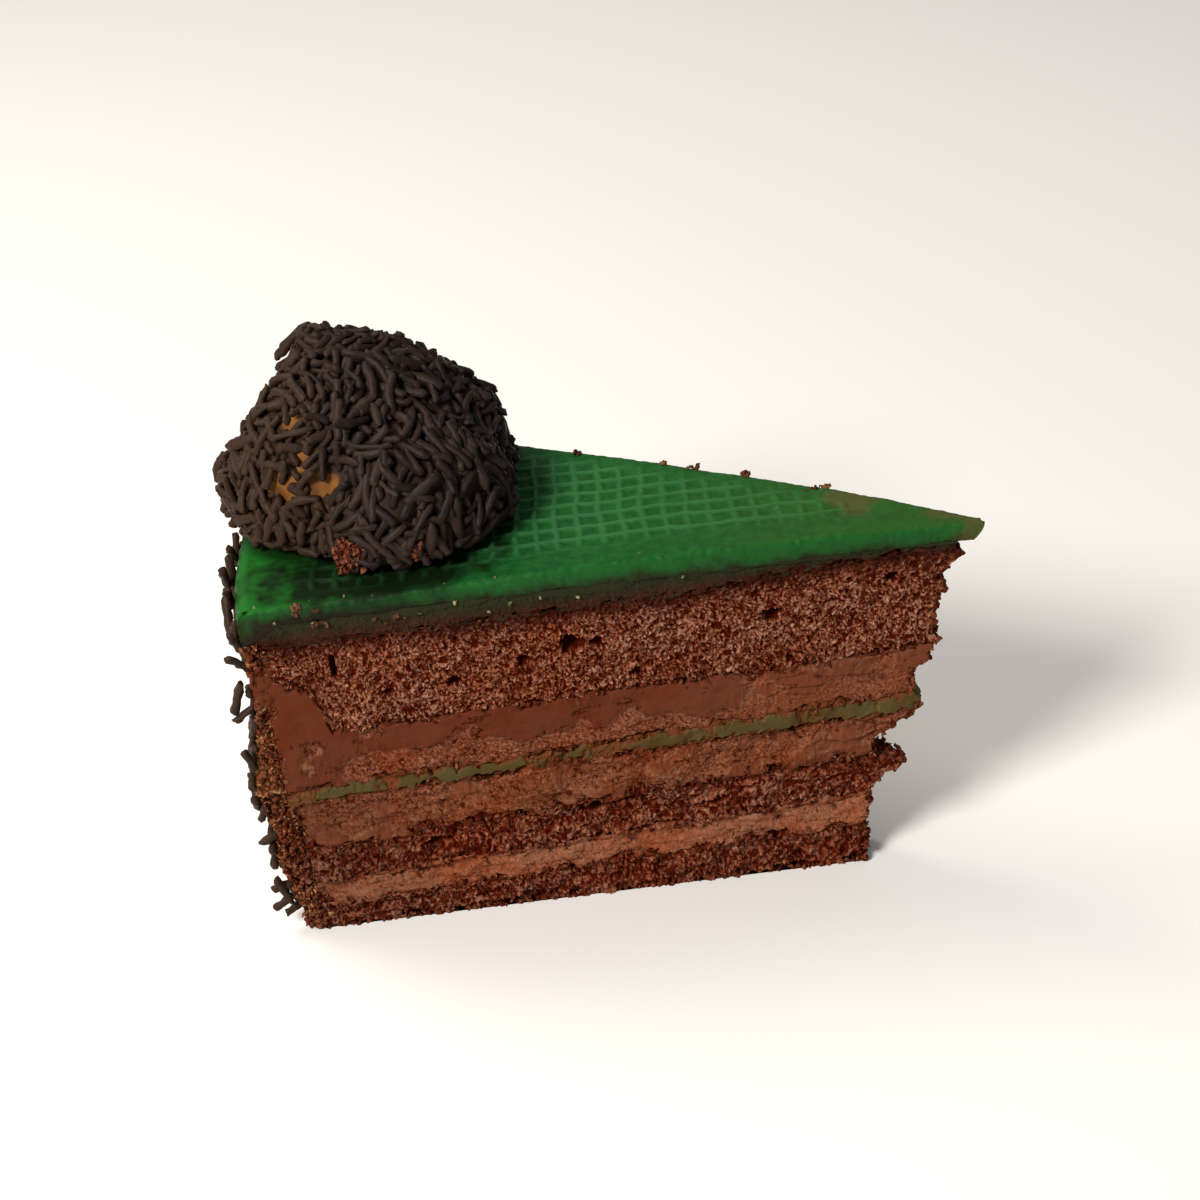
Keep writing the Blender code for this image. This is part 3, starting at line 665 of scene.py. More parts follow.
pore_kept = add_node(tree, "ShaderNodeMath", {"operation": "LESS_THAN"}, {
    0: pore_parts, 1: given["Pore share"]})
pore_here = add_node(tree, "ShaderNodeMath", MULTIPLY, {0: pore_dip, 1: pore_kept})
print("relief tree:", len(tree.nodes), "nodes so far")

# %% Torn places, drag lines and cracks
TORN_LEVEL = 0.97
TORN_FADE = 0.06
FIBRE_FADE = 0.11
CRACK_LEVEL = 0.52
CRACK_WIDTH = 0.010
torn_value = add_node(tree, "ShaderNodeMath", ADD, {0: noises["Torn size"], 1: mark_of["bias"]})
torn_from = add_node(tree, "ShaderNodeMath", SUBTRACT, {0: TORN_LEVEL, 1: given["Torn share"]})
torn_to = add_node(tree, "ShaderNodeMath", ADD, {0: torn_from, 1: TORN_FADE})
torn = add_node(tree, "ShaderNodeMapRange", SMOOTH, {
    "Value": torn_value, "From Min": torn_from, "From Max": torn_to})
fibre_from = add_node(tree, "ShaderNodeMath", SUBTRACT, {0: torn_from, 1: FIBRE_FADE})
fibre_share = add_node(tree, "ShaderNodeMapRange", SMOOTH, {
    "Value": torn_value, "From Min": fibre_from, "From Max": torn_from})
fibre_here = add_node(tree, "ShaderNodeMath", MULTIPLY, {0: dips["fibre"], 1: fibre_share})
crack_near = add_node(tree, "ShaderNodeMath", COMPARE, {
    0: noises["crack"], 1: CRACK_LEVEL, 2: CRACK_WIDTH})
torn_edge = add_node(tree, "ShaderNodeMath", COMPARE, {
    0: torn_value, 1: torn_from, 2: TORN_FADE})
crack = add_node(tree, "ShaderNodeMath", MULTIPLY, {0: crack_near, 1: torn_edge})
pushes = {}
for depth, part in (
    ("Fibre depth", fibre_here), ("Crack depth", crack), ("Streak depth", dips["streak"]),
):
    pushes[depth] = add_node(tree, "ShaderNodeMath", MULTIPLY, {0: part, 1: given[depth]})
print("relief tree:", len(tree.nodes), "nodes so far")

# %% [markdown]
# The parts are now added up. Crumbs and pores count only where the place is torn, drag lines
# only where it isn't. The sum moves each point along its own outward direction, and the crumbs
# are also nudged sideways, so that some of them overhang their gaps as real ones do.

# %% Adding the relief up
# How much painted shade each part puts into the tone
GRAIN_SHADE = 0.2
PORE_SHADE = 0.8
FIBRE_SHADE = 0.22
# Painted shade in the tone for each metre of depth
CRACK_SHADE = -1300.0
STREAK_SHADE = 250.0
HOLLOW_SHADE = 500.0
rough_push = 0.0
for dip, depth in (
    (wall_dip, "Wall depth"), (dips["Grain size"], "Grain depth"), (pore_here, "Pore depth"),
):
    rough_push = add_node(tree, "ShaderNodeMath", MULTIPLY_ADD, {
        0: dip, 1: given[depth], 2: rough_push})
dragged_push = add_node(tree, "ShaderNodeMath", SUBTRACT, {
    0: pushes["Fibre depth"], 1: pushes["Crack depth"]})
blended = add_node(tree, "ShaderNodeMix", NUMBERS, {0: torn, 2: dragged_push, 3: rough_push})
slow_push = add_node(tree, "ShaderNodeMath", ADD, {0: wave_push, 1: pushes["Streak depth"]})
total = add_node(tree, "ShaderNodeMath", ADD, {0: slow_push, 1: blended})
freed = add_node(tree, "ShaderNodeMath", MULTIPLY_ADD, {
    0: total, 1: mark_of["free"], 2: mark_of["sunk"]})
push = add_node(tree, "ShaderNodeVectorMath", SCALE, {0: mark_of["outward"], "Scale": freed})
sideways = add_node(tree, "ShaderNodeVectorMath", SUBTRACT, {
    0: noises["Wall size"].outputs["Color"], 1: MIDDLE_GREY})
side_share = add_node(tree, "ShaderNodeMath", MULTIPLY, {0: given["Nudge"], 1: mark_of["free"]})
nudge = add_node(tree, "ShaderNodeVectorMath", SCALE, {0: sideways, "Scale": side_share})
offset = add_node(tree, "ShaderNodeVectorMath", ADD, {0: push, 1: nudge})
moved = add_node(tree, "GeometryNodeSetPosition", inputs={
    "Geometry": given["Geometry"], "Offset": offset})
# The tone is painted shade: darker in gaps, pores, cracks, streaks and hollows, lighter on crests
rough_shade = wall_dip
for part, weight in ((dips["Grain size"], GRAIN_SHADE), (pore_here, PORE_SHADE)):
    rough_shade = add_node(tree, "ShaderNodeMath", MULTIPLY_ADD, {
        0: part, 1: weight, 2: rough_shade})
fibre_shade = add_node(tree, "ShaderNodeMath", MULTIPLY, {0: fibre_here, 1: FIBRE_SHADE})
tone_and_shade = add_node(tree, "ShaderNodeMix", NUMBERS, {0: torn, 2: fibre_shade, 3: rough_shade})
for depth, weight in (
    (pushes["Crack depth"], CRACK_SHADE), (pushes["Streak depth"], STREAK_SHADE),
    (mark_of["sunk"], HOLLOW_SHADE),
):
    tone_and_shade = add_node(tree, "ShaderNodeMath", MULTIPLY_ADD, {0: depth, 1: weight, 2: tone_and_shade})
tone_and_shade = add_node(tree, "ShaderNodeMath", CLAMPED_ADD, {0: tone_and_shade, 1: 1.0})
marked = moved
for name, value in (("tone_and_shade", tone_and_shade), ("torn", torn)):
    marked = add_node(tree, "GeometryNodeStoreNamedAttribute", {
        "data_type": "FLOAT", "domain": "POINT"}, {
        "Geometry": marked, "Name": name, "Value": value})
end_tree(tree, marked, given["Finish"])
relief_tree = tree
print("relief tree:", len(tree.nodes), "nodes")

# %% [markdown]
# ## Colours
# The colours are picked as they look on the real cake and are written as sRGB hex values. The
# shaders work in linear light, so one function converts them.

# %% From sRGB hex to linear
def linear(code):
    """Linear colour, with alpha, from a hex value such as #663322."""
    parts = [int(code[start:start + 2], 16) / 255.0 for start in (1, 3, 5)]
    bent = [p / 12.92 if p <= 0.04045 else ((p + 0.055) / 1.055) ** 2.4 for p in parts]
    return (*bent, 1.0)


print("mid brown", [round(part, 3) for part in linear("#663322")])

# %% [markdown]
# ## How every finish starts and ends
# A finish starts with the shader's settings and the object's own places, so that a grain keeps
# its true size. It ends with a colour and a fine bump. Noise mostly lies between two values,
# and a pattern that swings about zero is read from those.

# %% Helpers for finishes
NOISE_LOW, NOISE_HIGH = 0.3, 0.7


def start_finish(name, settings):
    """A material, its tree, its shader and the socket with the object's own places."""
    made = bpy.data.materials.new(name)
    made.use_nodes = True
    tree = made.node_tree
    shader = tree.nodes["Principled BSDF"]
    for title, value in settings.items():
        shader.inputs[title].default_value = value
    return made, tree, shader, add_node(tree, "ShaderNodeTexCoord").outputs["Object"]


def end_finish(tree, shader, colour, grain, strength, distance):
    """Give the shader its colour and a bump from the grain."""
    tree.links.new(colour, shader.inputs["Base Color"])
    bump = add_node(tree, "ShaderNodeBump", inputs={
        "Strength": strength, "Distance": distance, "Height": grain})
    tree.links.new(bump.outputs["Normal"], shader.inputs["Normal"])


def read_marks(tree, names):
    """The sockets that give a material the marks on its mesh."""
    return {
        name: add_node(tree, "ShaderNodeAttribute", {"attribute_name": name}).outputs["Fac"]
        for name in names
    }


print("finish helpers ready")

# %% [markdown]
# ## Sponge and cream
# Both are mixtures of cocoa, sugar and fat, so they are matt and a warm brown. Shade is painted
# darker into every gap, and crests are painted lighter as a highlight. The sponge is dry and
# scatters light from its crumb walls. The cream is denser, a little smoother and redder where the
# knife slid over it. The tone mark runs through a ramp from a shaded pit to a lit crest, a fine
# grain breaks it up, and a slow variation warms some places.

# %% The material of a cut layer
GRAIN_SIZE = 0.00030
WARM_SIZE = 0.009
WARM_START, WARM_FULL = 0.42, 0.70
MOST_WARMTH = 0.6
# Ramp places of the pit, painted as shade, of the body, and of the crest, painted as a highlight
SHADED_PIT_TONE, BODY_TONE, LIT_CREST_TONE = 0.06, 0.40, 0.94
# How far each pattern swings: the grain where the cut is torn and where it is smooth, and the
# slow variation in the stain and shade mark
SWINGS = {"torn": 0.16, "smooth": 0.12, "stain_and_shade": 0.25}
MOST_STAIN_AND_SHADE = 0.92


def cut_finish(name, shaded_pit, body, lit_crest, smooth, stain_and_shade, roughness, warm="#ffc08a"):
    """Matt cocoa-brown food: colours from the relief's marks, with grain and slow warmth."""
    made, tree, shader, place = start_finish(name, {
        "Roughness": roughness, "Specular IOR Level": 0.02})
    marks = read_marks(tree, ("tone_and_shade", "torn", "stain_and_shade"))
    grain = add_node(tree, "ShaderNodeTexNoise", inputs={
        "Vector": place, "Scale": 1.0 / GRAIN_SIZE, "Detail": 2.0})
    slow = add_node(tree, "ShaderNodeTexNoise", inputs={
        "Vector": place, "Scale": 1.0 / WARM_SIZE, "Detail": 3.0})
    swings = {}
    for part, amount in SWINGS.items():
        swings[part] = add_node(tree, "ShaderNodeMapRange", UNCLAMPED, {
            "Value": slow if part == "stain_and_shade" else grain, "From Min": NOISE_LOW,
            "From Max": NOISE_HIGH, "To Min": -amount, "To Max": amount})
    levels = {}
    for part in ("torn", "smooth"):
        levels[part] = add_node(tree, "ShaderNodeMath", CLAMPED_ADD, {
            0: marks["tone_and_shade"], 1: swings[part]})
    ramp = add_node(tree, "ShaderNodeValToRGB", inputs={"Fac": levels["torn"]})
    ramp.color_ramp.elements[0].color = linear(shaded_pit)
    ramp.color_ramp.elements[0].position = SHADED_PIT_TONE
    ramp.color_ramp.elements[1].color = linear(lit_crest)
    ramp.color_ramp.elements[1].position = LIT_CREST_TONE
    ramp.color_ramp.elements.new(BODY_TONE).color = linear(body)
    smooth_colour = add_node(tree, "ShaderNodeMix", COLOURS, {
        0: levels["smooth"], 6: linear(shaded_pit), 7: linear(smooth)})
    mixed = add_node(tree, "ShaderNodeMix", COLOURS, {
        0: marks["torn"], 6: smooth_colour.outputs[2], 7: ramp})
    warmth = add_node(tree, "ShaderNodeMapRange", inputs={
        "Value": slow, "From Min": WARM_START, "From Max": WARM_FULL, "To Min": 0.0,
        "To Max": MOST_WARMTH})
    warmed = add_node(tree, "ShaderNodeMix", {"data_type": "RGBA", "blend_type": "MULTIPLY"}, {
        0: warmth, 6: mixed.outputs[2], 7: linear(warm)})
    # This mark mixes in the stain colour; on the top sponge and the cover's cream it is painted
    # shade
    stain_and_shade_here = add_node(tree, "ShaderNodeMath", MULTIPLY_ADD, {
        0: marks["stain_and_shade"], 1: swings["stain_and_shade"], 2: marks["stain_and_shade"]})
    stain_and_shade_share = add_node(tree, "ShaderNodeMath", {"operation": "MINIMUM"}, {
        0: stain_and_shade_here, 1: MOST_STAIN_AND_SHADE})
    stained = add_node(tree, "ShaderNodeMix", COLOURS, {
        0: stain_and_shade_share, 6: warmed.outputs[2], 7: linear(stain_and_shade)})
    end_finish(tree, shader, stained.outputs[2], grain, 0.5, 0.00015)
    return made


# Its stain colour is the painted shade under the cover, on the top of the top sponge
sponge_finish = cut_finish(
    "chocolate sponge crumb", "#3a0d02", "#703e28", "#a88370", "#4a2312", "#33110a", 0.8)
dark_sponge_finish = cut_finish(
    "dark chocolate sponge crumb", "#471305", "#703f2a", "#9c7362", "#5e2e1d", "#2e120a", 0.75)
cream_finish = cut_finish(
    "smooth chocolate cream", "#360e04", "#6a3823", "#aa8068", "#5a2d1c", "#7c4a34", 0.6)
light_cream_finish = cut_finish(
    "light chocolate cream", "#401305", "#70412b", "#a0765c", "#6e3e29", "#3c180c", 0.7)
# A lighter copy of the light cream, painted lit to make up for the dimmer light near the base
lit_base_cream_finish = cut_finish(
    "light chocolate cream painted lit near the base", "#733820", "#86563f", "#9e765f", "#80513b", "#4c2416",
    0.7)
print("made five cocoa finishes")

# %% [markdown]
# ## Bubbles and gaps in the sponge
# A few bubbles of the top sponge are large enough to see one by one, and the knife opened one
# narrow slit near the outer side. The middle sponge broke open in several wide gaps. All are
# hollows at known places on the near face, with an uneven rim. Each one is a function that
# says how deep a point sinks.

# %% Hollows in the near face
BUBBLES = (
    (-0.0352, 0.0532, 0.0013), (-0.0679, 0.0522, 0.0017), (-0.0759, 0.0499, 0.0010),
    (-0.0876, 0.0476, 0.0010), (-0.0580, 0.0452, 0.0009), (-0.0155, 0.0575, 0.0009),
    (-0.0640, 0.0520, 0.0010), (-0.0985, 0.0470, 0.0007), (-0.0325, 0.0440, 0.0007),
)
BUBBLE_STRETCH = 1.25
BUBBLE_DEPTH_SHARE = 1.7
# How much two waves, of three and of five crests, change a bubble's rim
BUBBLE_RIM = (0.16, 0.10)
BUBBLE_RIM_TURN = 900.0
GAP_RAGGED = 0.7
GAP_RAGGED_SIZE = 0.0013
# Each gap: x and height of its middle, half width, half height and depth, in millimetres
TOP_GAPS = ((-106.6, 53.4, 0.65, 2.1, 2.4),)
LOW_GAPS = (
    (-67.2, 18.3, 2.8, 0.8, 2.2), (-61.8, 19.6, 3.8, 0.7, 1.8), (-57.0, 22.9, 1.5, 0.7, 1.6),
    (-50.9, 21.4, 1.5, 1.2, 1.8), (-47.7, 20.7, 1.0, 0.8, 1.4), (-46.6, 16.9, 1.6, 0.6, 1.4),
    (-94.7, 15.2, 2.6, 0.7, 1.6), (-104.0, 13.2, 1.6, 0.6, 1.2), (-31.0, 21.5, 1.4, 0.7, 1.4),
)


def bubble(x, z, radius):
    """A round hollow with an uneven rim."""
    def sink(points):
        across = (points[..., 0] - x) / BUBBLE_STRETCH
        up = points[..., 2] - z
        angle = np.arctan2(up, across)
        wave = BUBBLE_RIM[0] * np.sin(3.0 * angle + x * BUBBLE_RIM_TURN)
        rim = radius * (1.0 + wave + BUBBLE_RIM[1] * np.sin(5.0 * angle))
        share = np.hypot(across, up) / rim
        return -BUBBLE_DEPTH_SHARE * radius * np.sqrt(np.clip(1.0 - share ** 2, 0.0, 1.0))
    return sink


def gap(x, z, half_width, half_height, depth):
    """An opening with a ragged rim, with its sizes in millimetres."""
    def sink(points):
        across = (1000.0 * points[..., 0] - x) / half_width
        up = (1000.0 * points[..., 2] - z) / half_height
        ragged = GAP_RAGGED * noise_at(points, GAP_RAGGED_SIZE, 17.0)
        share = np.clip(1.0 - across ** 2 - up ** 2 + ragged, 0.0, 1.0)
        return -depth / 1000.0 * np.sqrt(share)
    return sink


sponge_hollows = near_hollows(
    [bubble(*row) for row in BUBBLES] + [gap(*row) for row in TOP_GAPS])
low_hollows = near_hollows([gap(*row) for row in LOW_GAPS])
print(len(BUBBLES) + len(TOP_GAPS) + len(LOW_GAPS), "hollows")

# %% [markdown]
# ## The eight layers
# From the base up: dark sponge, cream, dark sponge, cream, a thin green filling, the upper
# cream, the tall top sponge and the cream that holds the cover. The relief's sizes are what
# could be measured on the cut: crumbs of 1 to 2 mm, pores 2 to 3 mm apart, torn patches 6 to
# 8 mm long. The green filling and the cover's cream follow in steps of their own.

# %% Relief sizes for sponge and for cream
SPONGE_RELIEF = {
    "Wave size": 0.0050, "Wave height": 0.00035, "Wall size": 0.00112, "Wall depth": 0.00066,
    "Grain size": 0.0005, "Grain depth": 0.00012, "Pore spacing": 0.0022, "Pore share": 0.30,
    "Pore depth": 0.0007, "Torn share": 1.5, "Torn size": 0.006, "Fibre depth": 0.0,
    "Crack depth": 0.0, "Streak depth": 0.0, "Nudge": 0.00025, "Cracked": 0.0,
}
CREAM_RELIEF = {
    "Wave size": 0.0070, "Wave height": 0.00035, "Wall size": 0.0019, "Wall depth": 0.00055,
    "Grain size": 0.0005, "Grain depth": 0.00015, "Pore spacing": 0.0030, "Pore share": 0.25,
    "Pore depth": 0.00045, "Torn share": 0.50, "Torn size": 0.0075, "Fibre depth": 0.00018,
    "Crack depth": 0.0, "Streak depth": 0.0002, "Nudge": 0.0002, "Cracked": 0.75,
}
GRAINY_CREAM = {
    **CREAM_RELIEF, "Wave height": 0.0007, "Wall size": 0.0021, "Wall depth": 0.00060,
    "Grain size": 0.00055, "Grain depth": 0.00020, "Pore share": 0.10, "Torn share": 0.53,
    "Streak depth": 0.0006,
}
LOW_SPONGE = {
    "Wave height": 0.0007, "Wall size": 0.0016, "Wall depth": 0.0009, "Streak depth": 0.0006}
SMOOTH_END = -0.100
TORN_END = -0.062
LEFT_DARKENING = 0.42
PALER_TIP_SHARE = 0.28


def upper_cream_tears(walls, rise):
    """The upper cream is torn in its lower half and smooth near the outer side."""
    outer_end = ease((SMOOTH_END - walls[..., 0]) / 0.012)
    inner_end = ease((walls[..., 0] - TORN_END) / 0.030)
    low = ease((rise - 0.15) / 0.5)
    return 0.10 - 0.22 * low - 0.10 * outer_end + 0.12 * inner_end


def lower_cream_tears(walls, rise):
    """The lower cream is smoother towards the tip."""
    return 0.15 - 0.04 * ease((walls[..., 0] + 0.085) / 0.030)


def darker_left(walls, rise):
    """The lower layers are darker towards the outer side."""
    return LEFT_DARKENING * (1.0 - ease((walls[..., 0] + 0.120) / 0.035))


def paler_towards_tip(walls, rise):
    """The upper cream is paler towards the tip."""
    return PALER_TIP_SHARE * ease((walls[..., 0] - TORN_END) / 0.030)


LAYERS = (
    ("bottom_sponge_crumb", "bottom_sponge", "base", "dark_sponge", dark_sponge_finish,
     {**SPONGE_RELIEF, **LOW_SPONGE, "Seed": 1.0}, no_mark),
    ("lower_cream_cut", "lower_cream", "bottom_sponge", "light_cream", lit_base_cream_finish,
     {**GRAINY_CREAM, "Seed": 2.0}, lower_cream_tears),
    ("middle_sponge_crumb", "middle_sponge", "lower_cream", "dark_sponge", dark_sponge_finish,
     {**SPONGE_RELIEF, **LOW_SPONGE, "Seed": 3.0}, no_mark),
    ("middle_cream_cut", "middle_cream", "middle_sponge", "light_cream", light_cream_finish,
     {**GRAINY_CREAM, "Seed": 4.0}, no_mark),
    ("upper_cream_cut", "upper_cream", "green_layer", "cream", cream_finish,
     {**CREAM_RELIEF, "Crack depth": 0.0003, "Seed": 5.0}, upper_cream_tears),
)
for piece_name, node_name, below, slot_name, finish, sizes, bias in LAYERS:
    stain_and_shade = paler_towards_tip if node_name == "upper_cream" else darker_left
    sunk = low_hollows if node_name == "middle_sponge" else no_mark
    item = build_layer(
        piece_name, node_name, below, sunk=sunk, bias=bias, stain_and_shade=stain_and_shade)
    run_tree(item, relief_tree, {**sizes, "Finish": finish})
    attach(item, "root")
    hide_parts(node_name)

# %% The top sponge has the bubbles
TOP_SHADE_DEPTH = 0.0042
MOST_TOP_SHADE = 0.85


def top_shade_stain(walls, rise):
    """Painted shade under the cover over the sponge's top few mm, where cream also soaked in."""
    height = walls[..., 2]
    below_roof = height[-1] - height
    return MOST_TOP_SHADE * (1.0 - ease(below_roof / TOP_SHADE_DEPTH))


item = build_layer(
    "top_sponge_crumb", "top_sponge", "upper_cream",
    sunk=sponge_hollows, stain_and_shade=top_shade_stain)
run_tree(item, relief_tree, {**SPONGE_RELIEF, "Seed": 6.0, "Finish": sponge_finish})
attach(item, "root")
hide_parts("top_sponge")

# %% [markdown]
# ## The green filling
# This thin band is green marzipan that took up cocoa from the cream, so it is olive. In a few
# places the knife dragged cream over it. There it is torn like the cream and has its brown.

# %% The green band
# Stretches of the near face, and how much cream covers each
CREAM_OVER_GREEN = (
    (-0.1190, -0.1125, 0.6), (-0.1030, -0.0985, 1.0), (-0.0765, -0.0715, 0.7),
    (-0.0690, -0.0600, 0.55), (-0.0480, -0.0445, 0.8), (-0.0330, -0.0300, 0.5),
)
COVERED_EDGE = 0.0022
COVERED_TEAR = 0.5
BAND_SMOOTH = -0.16
BAND_EDGE = 0.00040
BAND_FRAY = 0.0013


def covered(walls, rise):
    """How much cream lies over the band."""
    x = walls[..., 0]
    ragged = COVERED_EDGE * noise_at(walls, 0.0012, 12.0)
    share = np.zeros(rise.shape)
    for first, last, amount in CREAM_OVER_GREEN:
        inside = ease((x - first + ragged) / COVERED_EDGE)
        inside = inside * ease((last - x + ragged) / COVERED_EDGE)
        share = np.maximum(share, amount * inside)
    to_edge = np.minimum(rise, 1.0 - rise) * (walls[-1, :, 2] - walls[0, :, 2])
    frayed = to_edge + BAND_FRAY * noise_at(walls, 0.0016, 15.0)
    return np.maximum(share, 1.0 - ease((frayed - BAND_EDGE) / BAND_EDGE))


def band_tears(walls, rise):
    """Smooth where the green shows, torn where cream covers it."""
    return BAND_SMOOTH + COVERED_TEAR * covered(walls, rise)


green_finish = cut_finish(
    "green filling stained with cocoa", "#2a1c0c", "#523f24", "#7c663e", "#4c4326", "#64351e",
    0.6)
item = build_layer(
    "green_filling_band", "green_layer", "middle_cream",
    bias=band_tears, stain_and_shade=covered)
run_tree(item, relief_tree, {
    **GRAINY_CREAM, "Torn size": 0.005, "Streak depth": 0.0001, "Seed": 7.0,
    "Finish": green_finish})
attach(item, "root")
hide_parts("green_layer")

# %% [markdown]
# ## The cream under the cover
# A thin spread of cream holds the marzipan down. It soaked into the crumb below it, so it is torn
# like the sponge. It is painted dark as the shade under the cover's edge, and olive above.

# %% The shaded cream
def cover_tears(walls, rise):
    """Torn like the sponge below, smooth under the cover."""
    return 0.40 - 0.50 * ease((rise - 0.2) / 0.8)


def cover_shade(walls, rise):
    """Painted shade under the cover, olive in the upper part."""
    return 0.95 * ease((rise - 0.10) / 0.75)


# All these colours are dark as painted shade under the cover's edge, with olive above
shade_finish = cut_finish(
    "dark cream in painted shade under the cover", "#180a06", "#341d14", "#543428", "#311d14", "#272a1b", 0.6)
item = build_layer(
    "cover_cream_shade", "cover_cream", "top_sponge", bias=cover_tears,
    stain_and_shade=cover_shade)
run_tree(item, relief_tree, {**CREAM_RELIEF, "Seed": 8.0, "Finish": shade_finish})
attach(item, "root")
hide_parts("cover_cream")

# %% [markdown]
# ## The marzipan cover
# The sheet is 3 mm thick. It was rolled with a netted roller, which left raised lines 3.6 mm
# apart. The lines fade into a smooth band along the near edge and under the truffle. The sheet
# swells a little between the truffle and the tip, and turns down over the outer side. Its top
# is a grid between the four edges, and its edge is a stack of rings below it.

# %% Sizes of the cover
MARZIPAN_LIP_BOTTOM = 0.0595
MARZIPAN_UNDERSIDE = 0.0628
LIP_EASE = 0.0075
EDGE_ROUND = {"near": 0.0010, "arc": 0.0023, "far": 0.0007, "tip": 0.0005}
CROWN = 0.0011
CROWN_START = 0.20
CROWN_FULL = 0.60
CROWN_FALL = 0.80
COVER_STEPS = (400, 170)
EDGE_ROWS = 16
NET_PITCH = 0.0036
NET_DEPTH = 0.00038
NET_TURN = math.radians(2.0)
NET_LINE_SHARE = 0.17
NET_WARPS = ((0.009, 0.0007), (0.0026, 0.0003))
NET_WORN = 0.45
NET_WORN_START = -0.074
NET_WORN_LENGTH = 0.026
SMOOTH_BAND = 0.0078
SMOOTH_BACK = 0.0035
SMOOTH_CORNER = (-0.113, 0.018)
NETTED_FRONT = (-0.098, 0.024, 0.45)
TRUFFLE_PLAN = np.array((-0.0992, 0.0340))
TRUFFLE_RADIUS = 0.0238
# It bulges low on the near side, towards the tip
TRUFFLE_BULGE = 0.0066
TRUFFLE_BULGE_FACING = np.array((0.469, -0.883))
TRUFFLE_BULGE_START = 0.66
# Where the net starts past the truffle's middle, as a share of its radius, and how it fades
SHELTER_START = 0.8
SHELTER_FADE = 0.004
CORNER_FADE = (0.008, 0.006)


def crown(plan):
    """Rise of the top over plan points."""
    towards_tip = 1.0 - np.linalg.norm(plan, axis=-1) / CAKE_RADIUS
    rise = ease((towards_tip - CROWN_START) / (CROWN_FULL - CROWN_START))
    return CROWN * rise * (1.0 - ease((towards_tip - CROWN_FALL) / (1.0 - CROWN_FALL)))


def low_bulge(outward):
    """How far the truffle bulges out in some directions."""
    aligned = outward[..., :2] @ TRUFFLE_BULGE_FACING - TRUFFLE_BULGE_START
    return TRUFFLE_BULGE * ease(aligned / (1.0 - TRUFFLE_BULGE_START))


def far_depth(plan):
    """Distance in from the far cut face, at the top."""
    return (far_start(np.float64(HEIGHT)) - plan) @ FAR_OUTWARD


def net(plan):
    """How far each point is pressed in: 0 on the raised lines, 1 in the squares."""
    flat = np.concatenate([plan, np.zeros(plan.shape[:-1] + (1,))], axis=-1)
    turned = plan @ np.array(Matrix.Rotation(-NET_TURN, 2))
    for size, amount in NET_WARPS:
        turned = turned + amount * np.stack(
            [noise_at(flat, size, seed) for seed in (1.0, 2.0)], axis=-1)
    cell = turned / NET_PITCH
    off_line = np.abs(cell - np.round(cell))
    line = 1.0 - ease((off_line - NET_LINE_SHARE * 0.3) / NET_LINE_SHARE)
    worn = 1.0 - NET_WORN * ease((plan[..., 0] - NET_WORN_START) / NET_WORN_LENGTH)
    pressed = 1.0 - np.maximum(line[..., 0] * worn, line[..., 1])
    middle, reach, amount = NETTED_FRONT
    band = SMOOTH_BAND * (1.0 - amount * ease(1.0 - np.abs(plan[..., 0] - middle) / reach))
    smooth_near = ease((plan[..., 1] - band * 0.55) / (band * 0.6))
    smooth_far = ease((far_depth(plan) - SMOOTH_BACK * 0.4) / SMOOTH_BACK)
    off_truffle = np.linalg.norm(plan - TRUFFLE_PLAN, axis=-1)
    past_truffle = off_truffle - TRUFFLE_RADIUS * SHELTER_START
    corner = 1.0 - ease((plan[..., 0] - SMOOTH_CORNER[0]) / CORNER_FADE[0])
    corner = corner * (1.0 - ease((plan[..., 1] - SMOOTH_CORNER[1]) / CORNER_FADE[1]))
    open_share = smooth_near * smooth_far * ease(past_truffle / SHELTER_FADE) * (1.0 - corner)
    return pressed, open_share


print("cover is", round((HEIGHT - MARZIPAN_UNDERSIDE) * 1000, 1), "mm thick")

# %% The top grid
columns, rows = COVER_STEPS
u = np.linspace(0.0, 1.0, columns + 1)[:, None, None]
v = np.linspace(0.0, 1.0, rows + 1)[None, :, None]
top_radius = np.float64(side_radius(HEIGHT) - EDGE_ROUND["arc"])
stands_back = np.float64(MARZIPAN_TIP + EDGE_ROUND["tip"])
cut_round = EDGE_ROUND["near"]


def top_corner(side, along):
    """A corner or edge point of the top grid, drawn in by the rounding of the edge."""
    along = np.atleast_1d(along)
    plan, _ = outline_point(
        side, along, np.full(along.shape, HEIGHT), np.full(along.shape, top_radius),
        np.full(along.shape, stands_back))
    return plan


near_line = top_corner("near", u.ravel())[:, None, :]
far_line = top_corner("far", 1.0 - u.ravel())[:, None, :]
arc_line = top_corner("arc", v.ravel())[None, :, :]
chord = arc_line[:, :1] + (arc_line[:, -1:] - arc_line[:, :1]) * v
top_plan_grid = near_line * (1.0 - v) + far_line * v + (arc_line - chord) * u
inward_near = np.array((0.0, cut_round)) * (1.0 - v)
inward_far = -FAR_OUTWARD * cut_round * v
top_plan_grid = top_plan_grid + inward_near + inward_far
pressed, open_share = net(top_plan_grid)
print("top grid:", top_plan_grid.shape[:2])

# %% [markdown]
# The lines stand up from the squares by less than half a millimetre, and a little unevenly,
# since a roller never presses equally everywhere. Around that the sheet has slow dents.

# %% Heights of the top, then the edge below it
SLOW_DENT = 0.00028
SLOW_DENT_SIZE = 0.011
FINE_DENT = 0.00007
FINE_DENT_SIZE = 0.0012
EDGE_DENT = 0.00030
EDGE_DENT_SIZE = 0.0014
TIP_DENT = 0.0015
TIP_UNDERCUT = 0.0018
BOTTOM_ROUND = 0.0001
UNEVEN_PRESS = 0.7
LIP_START = 0.0025
EDGE_CROWDING = 1.3

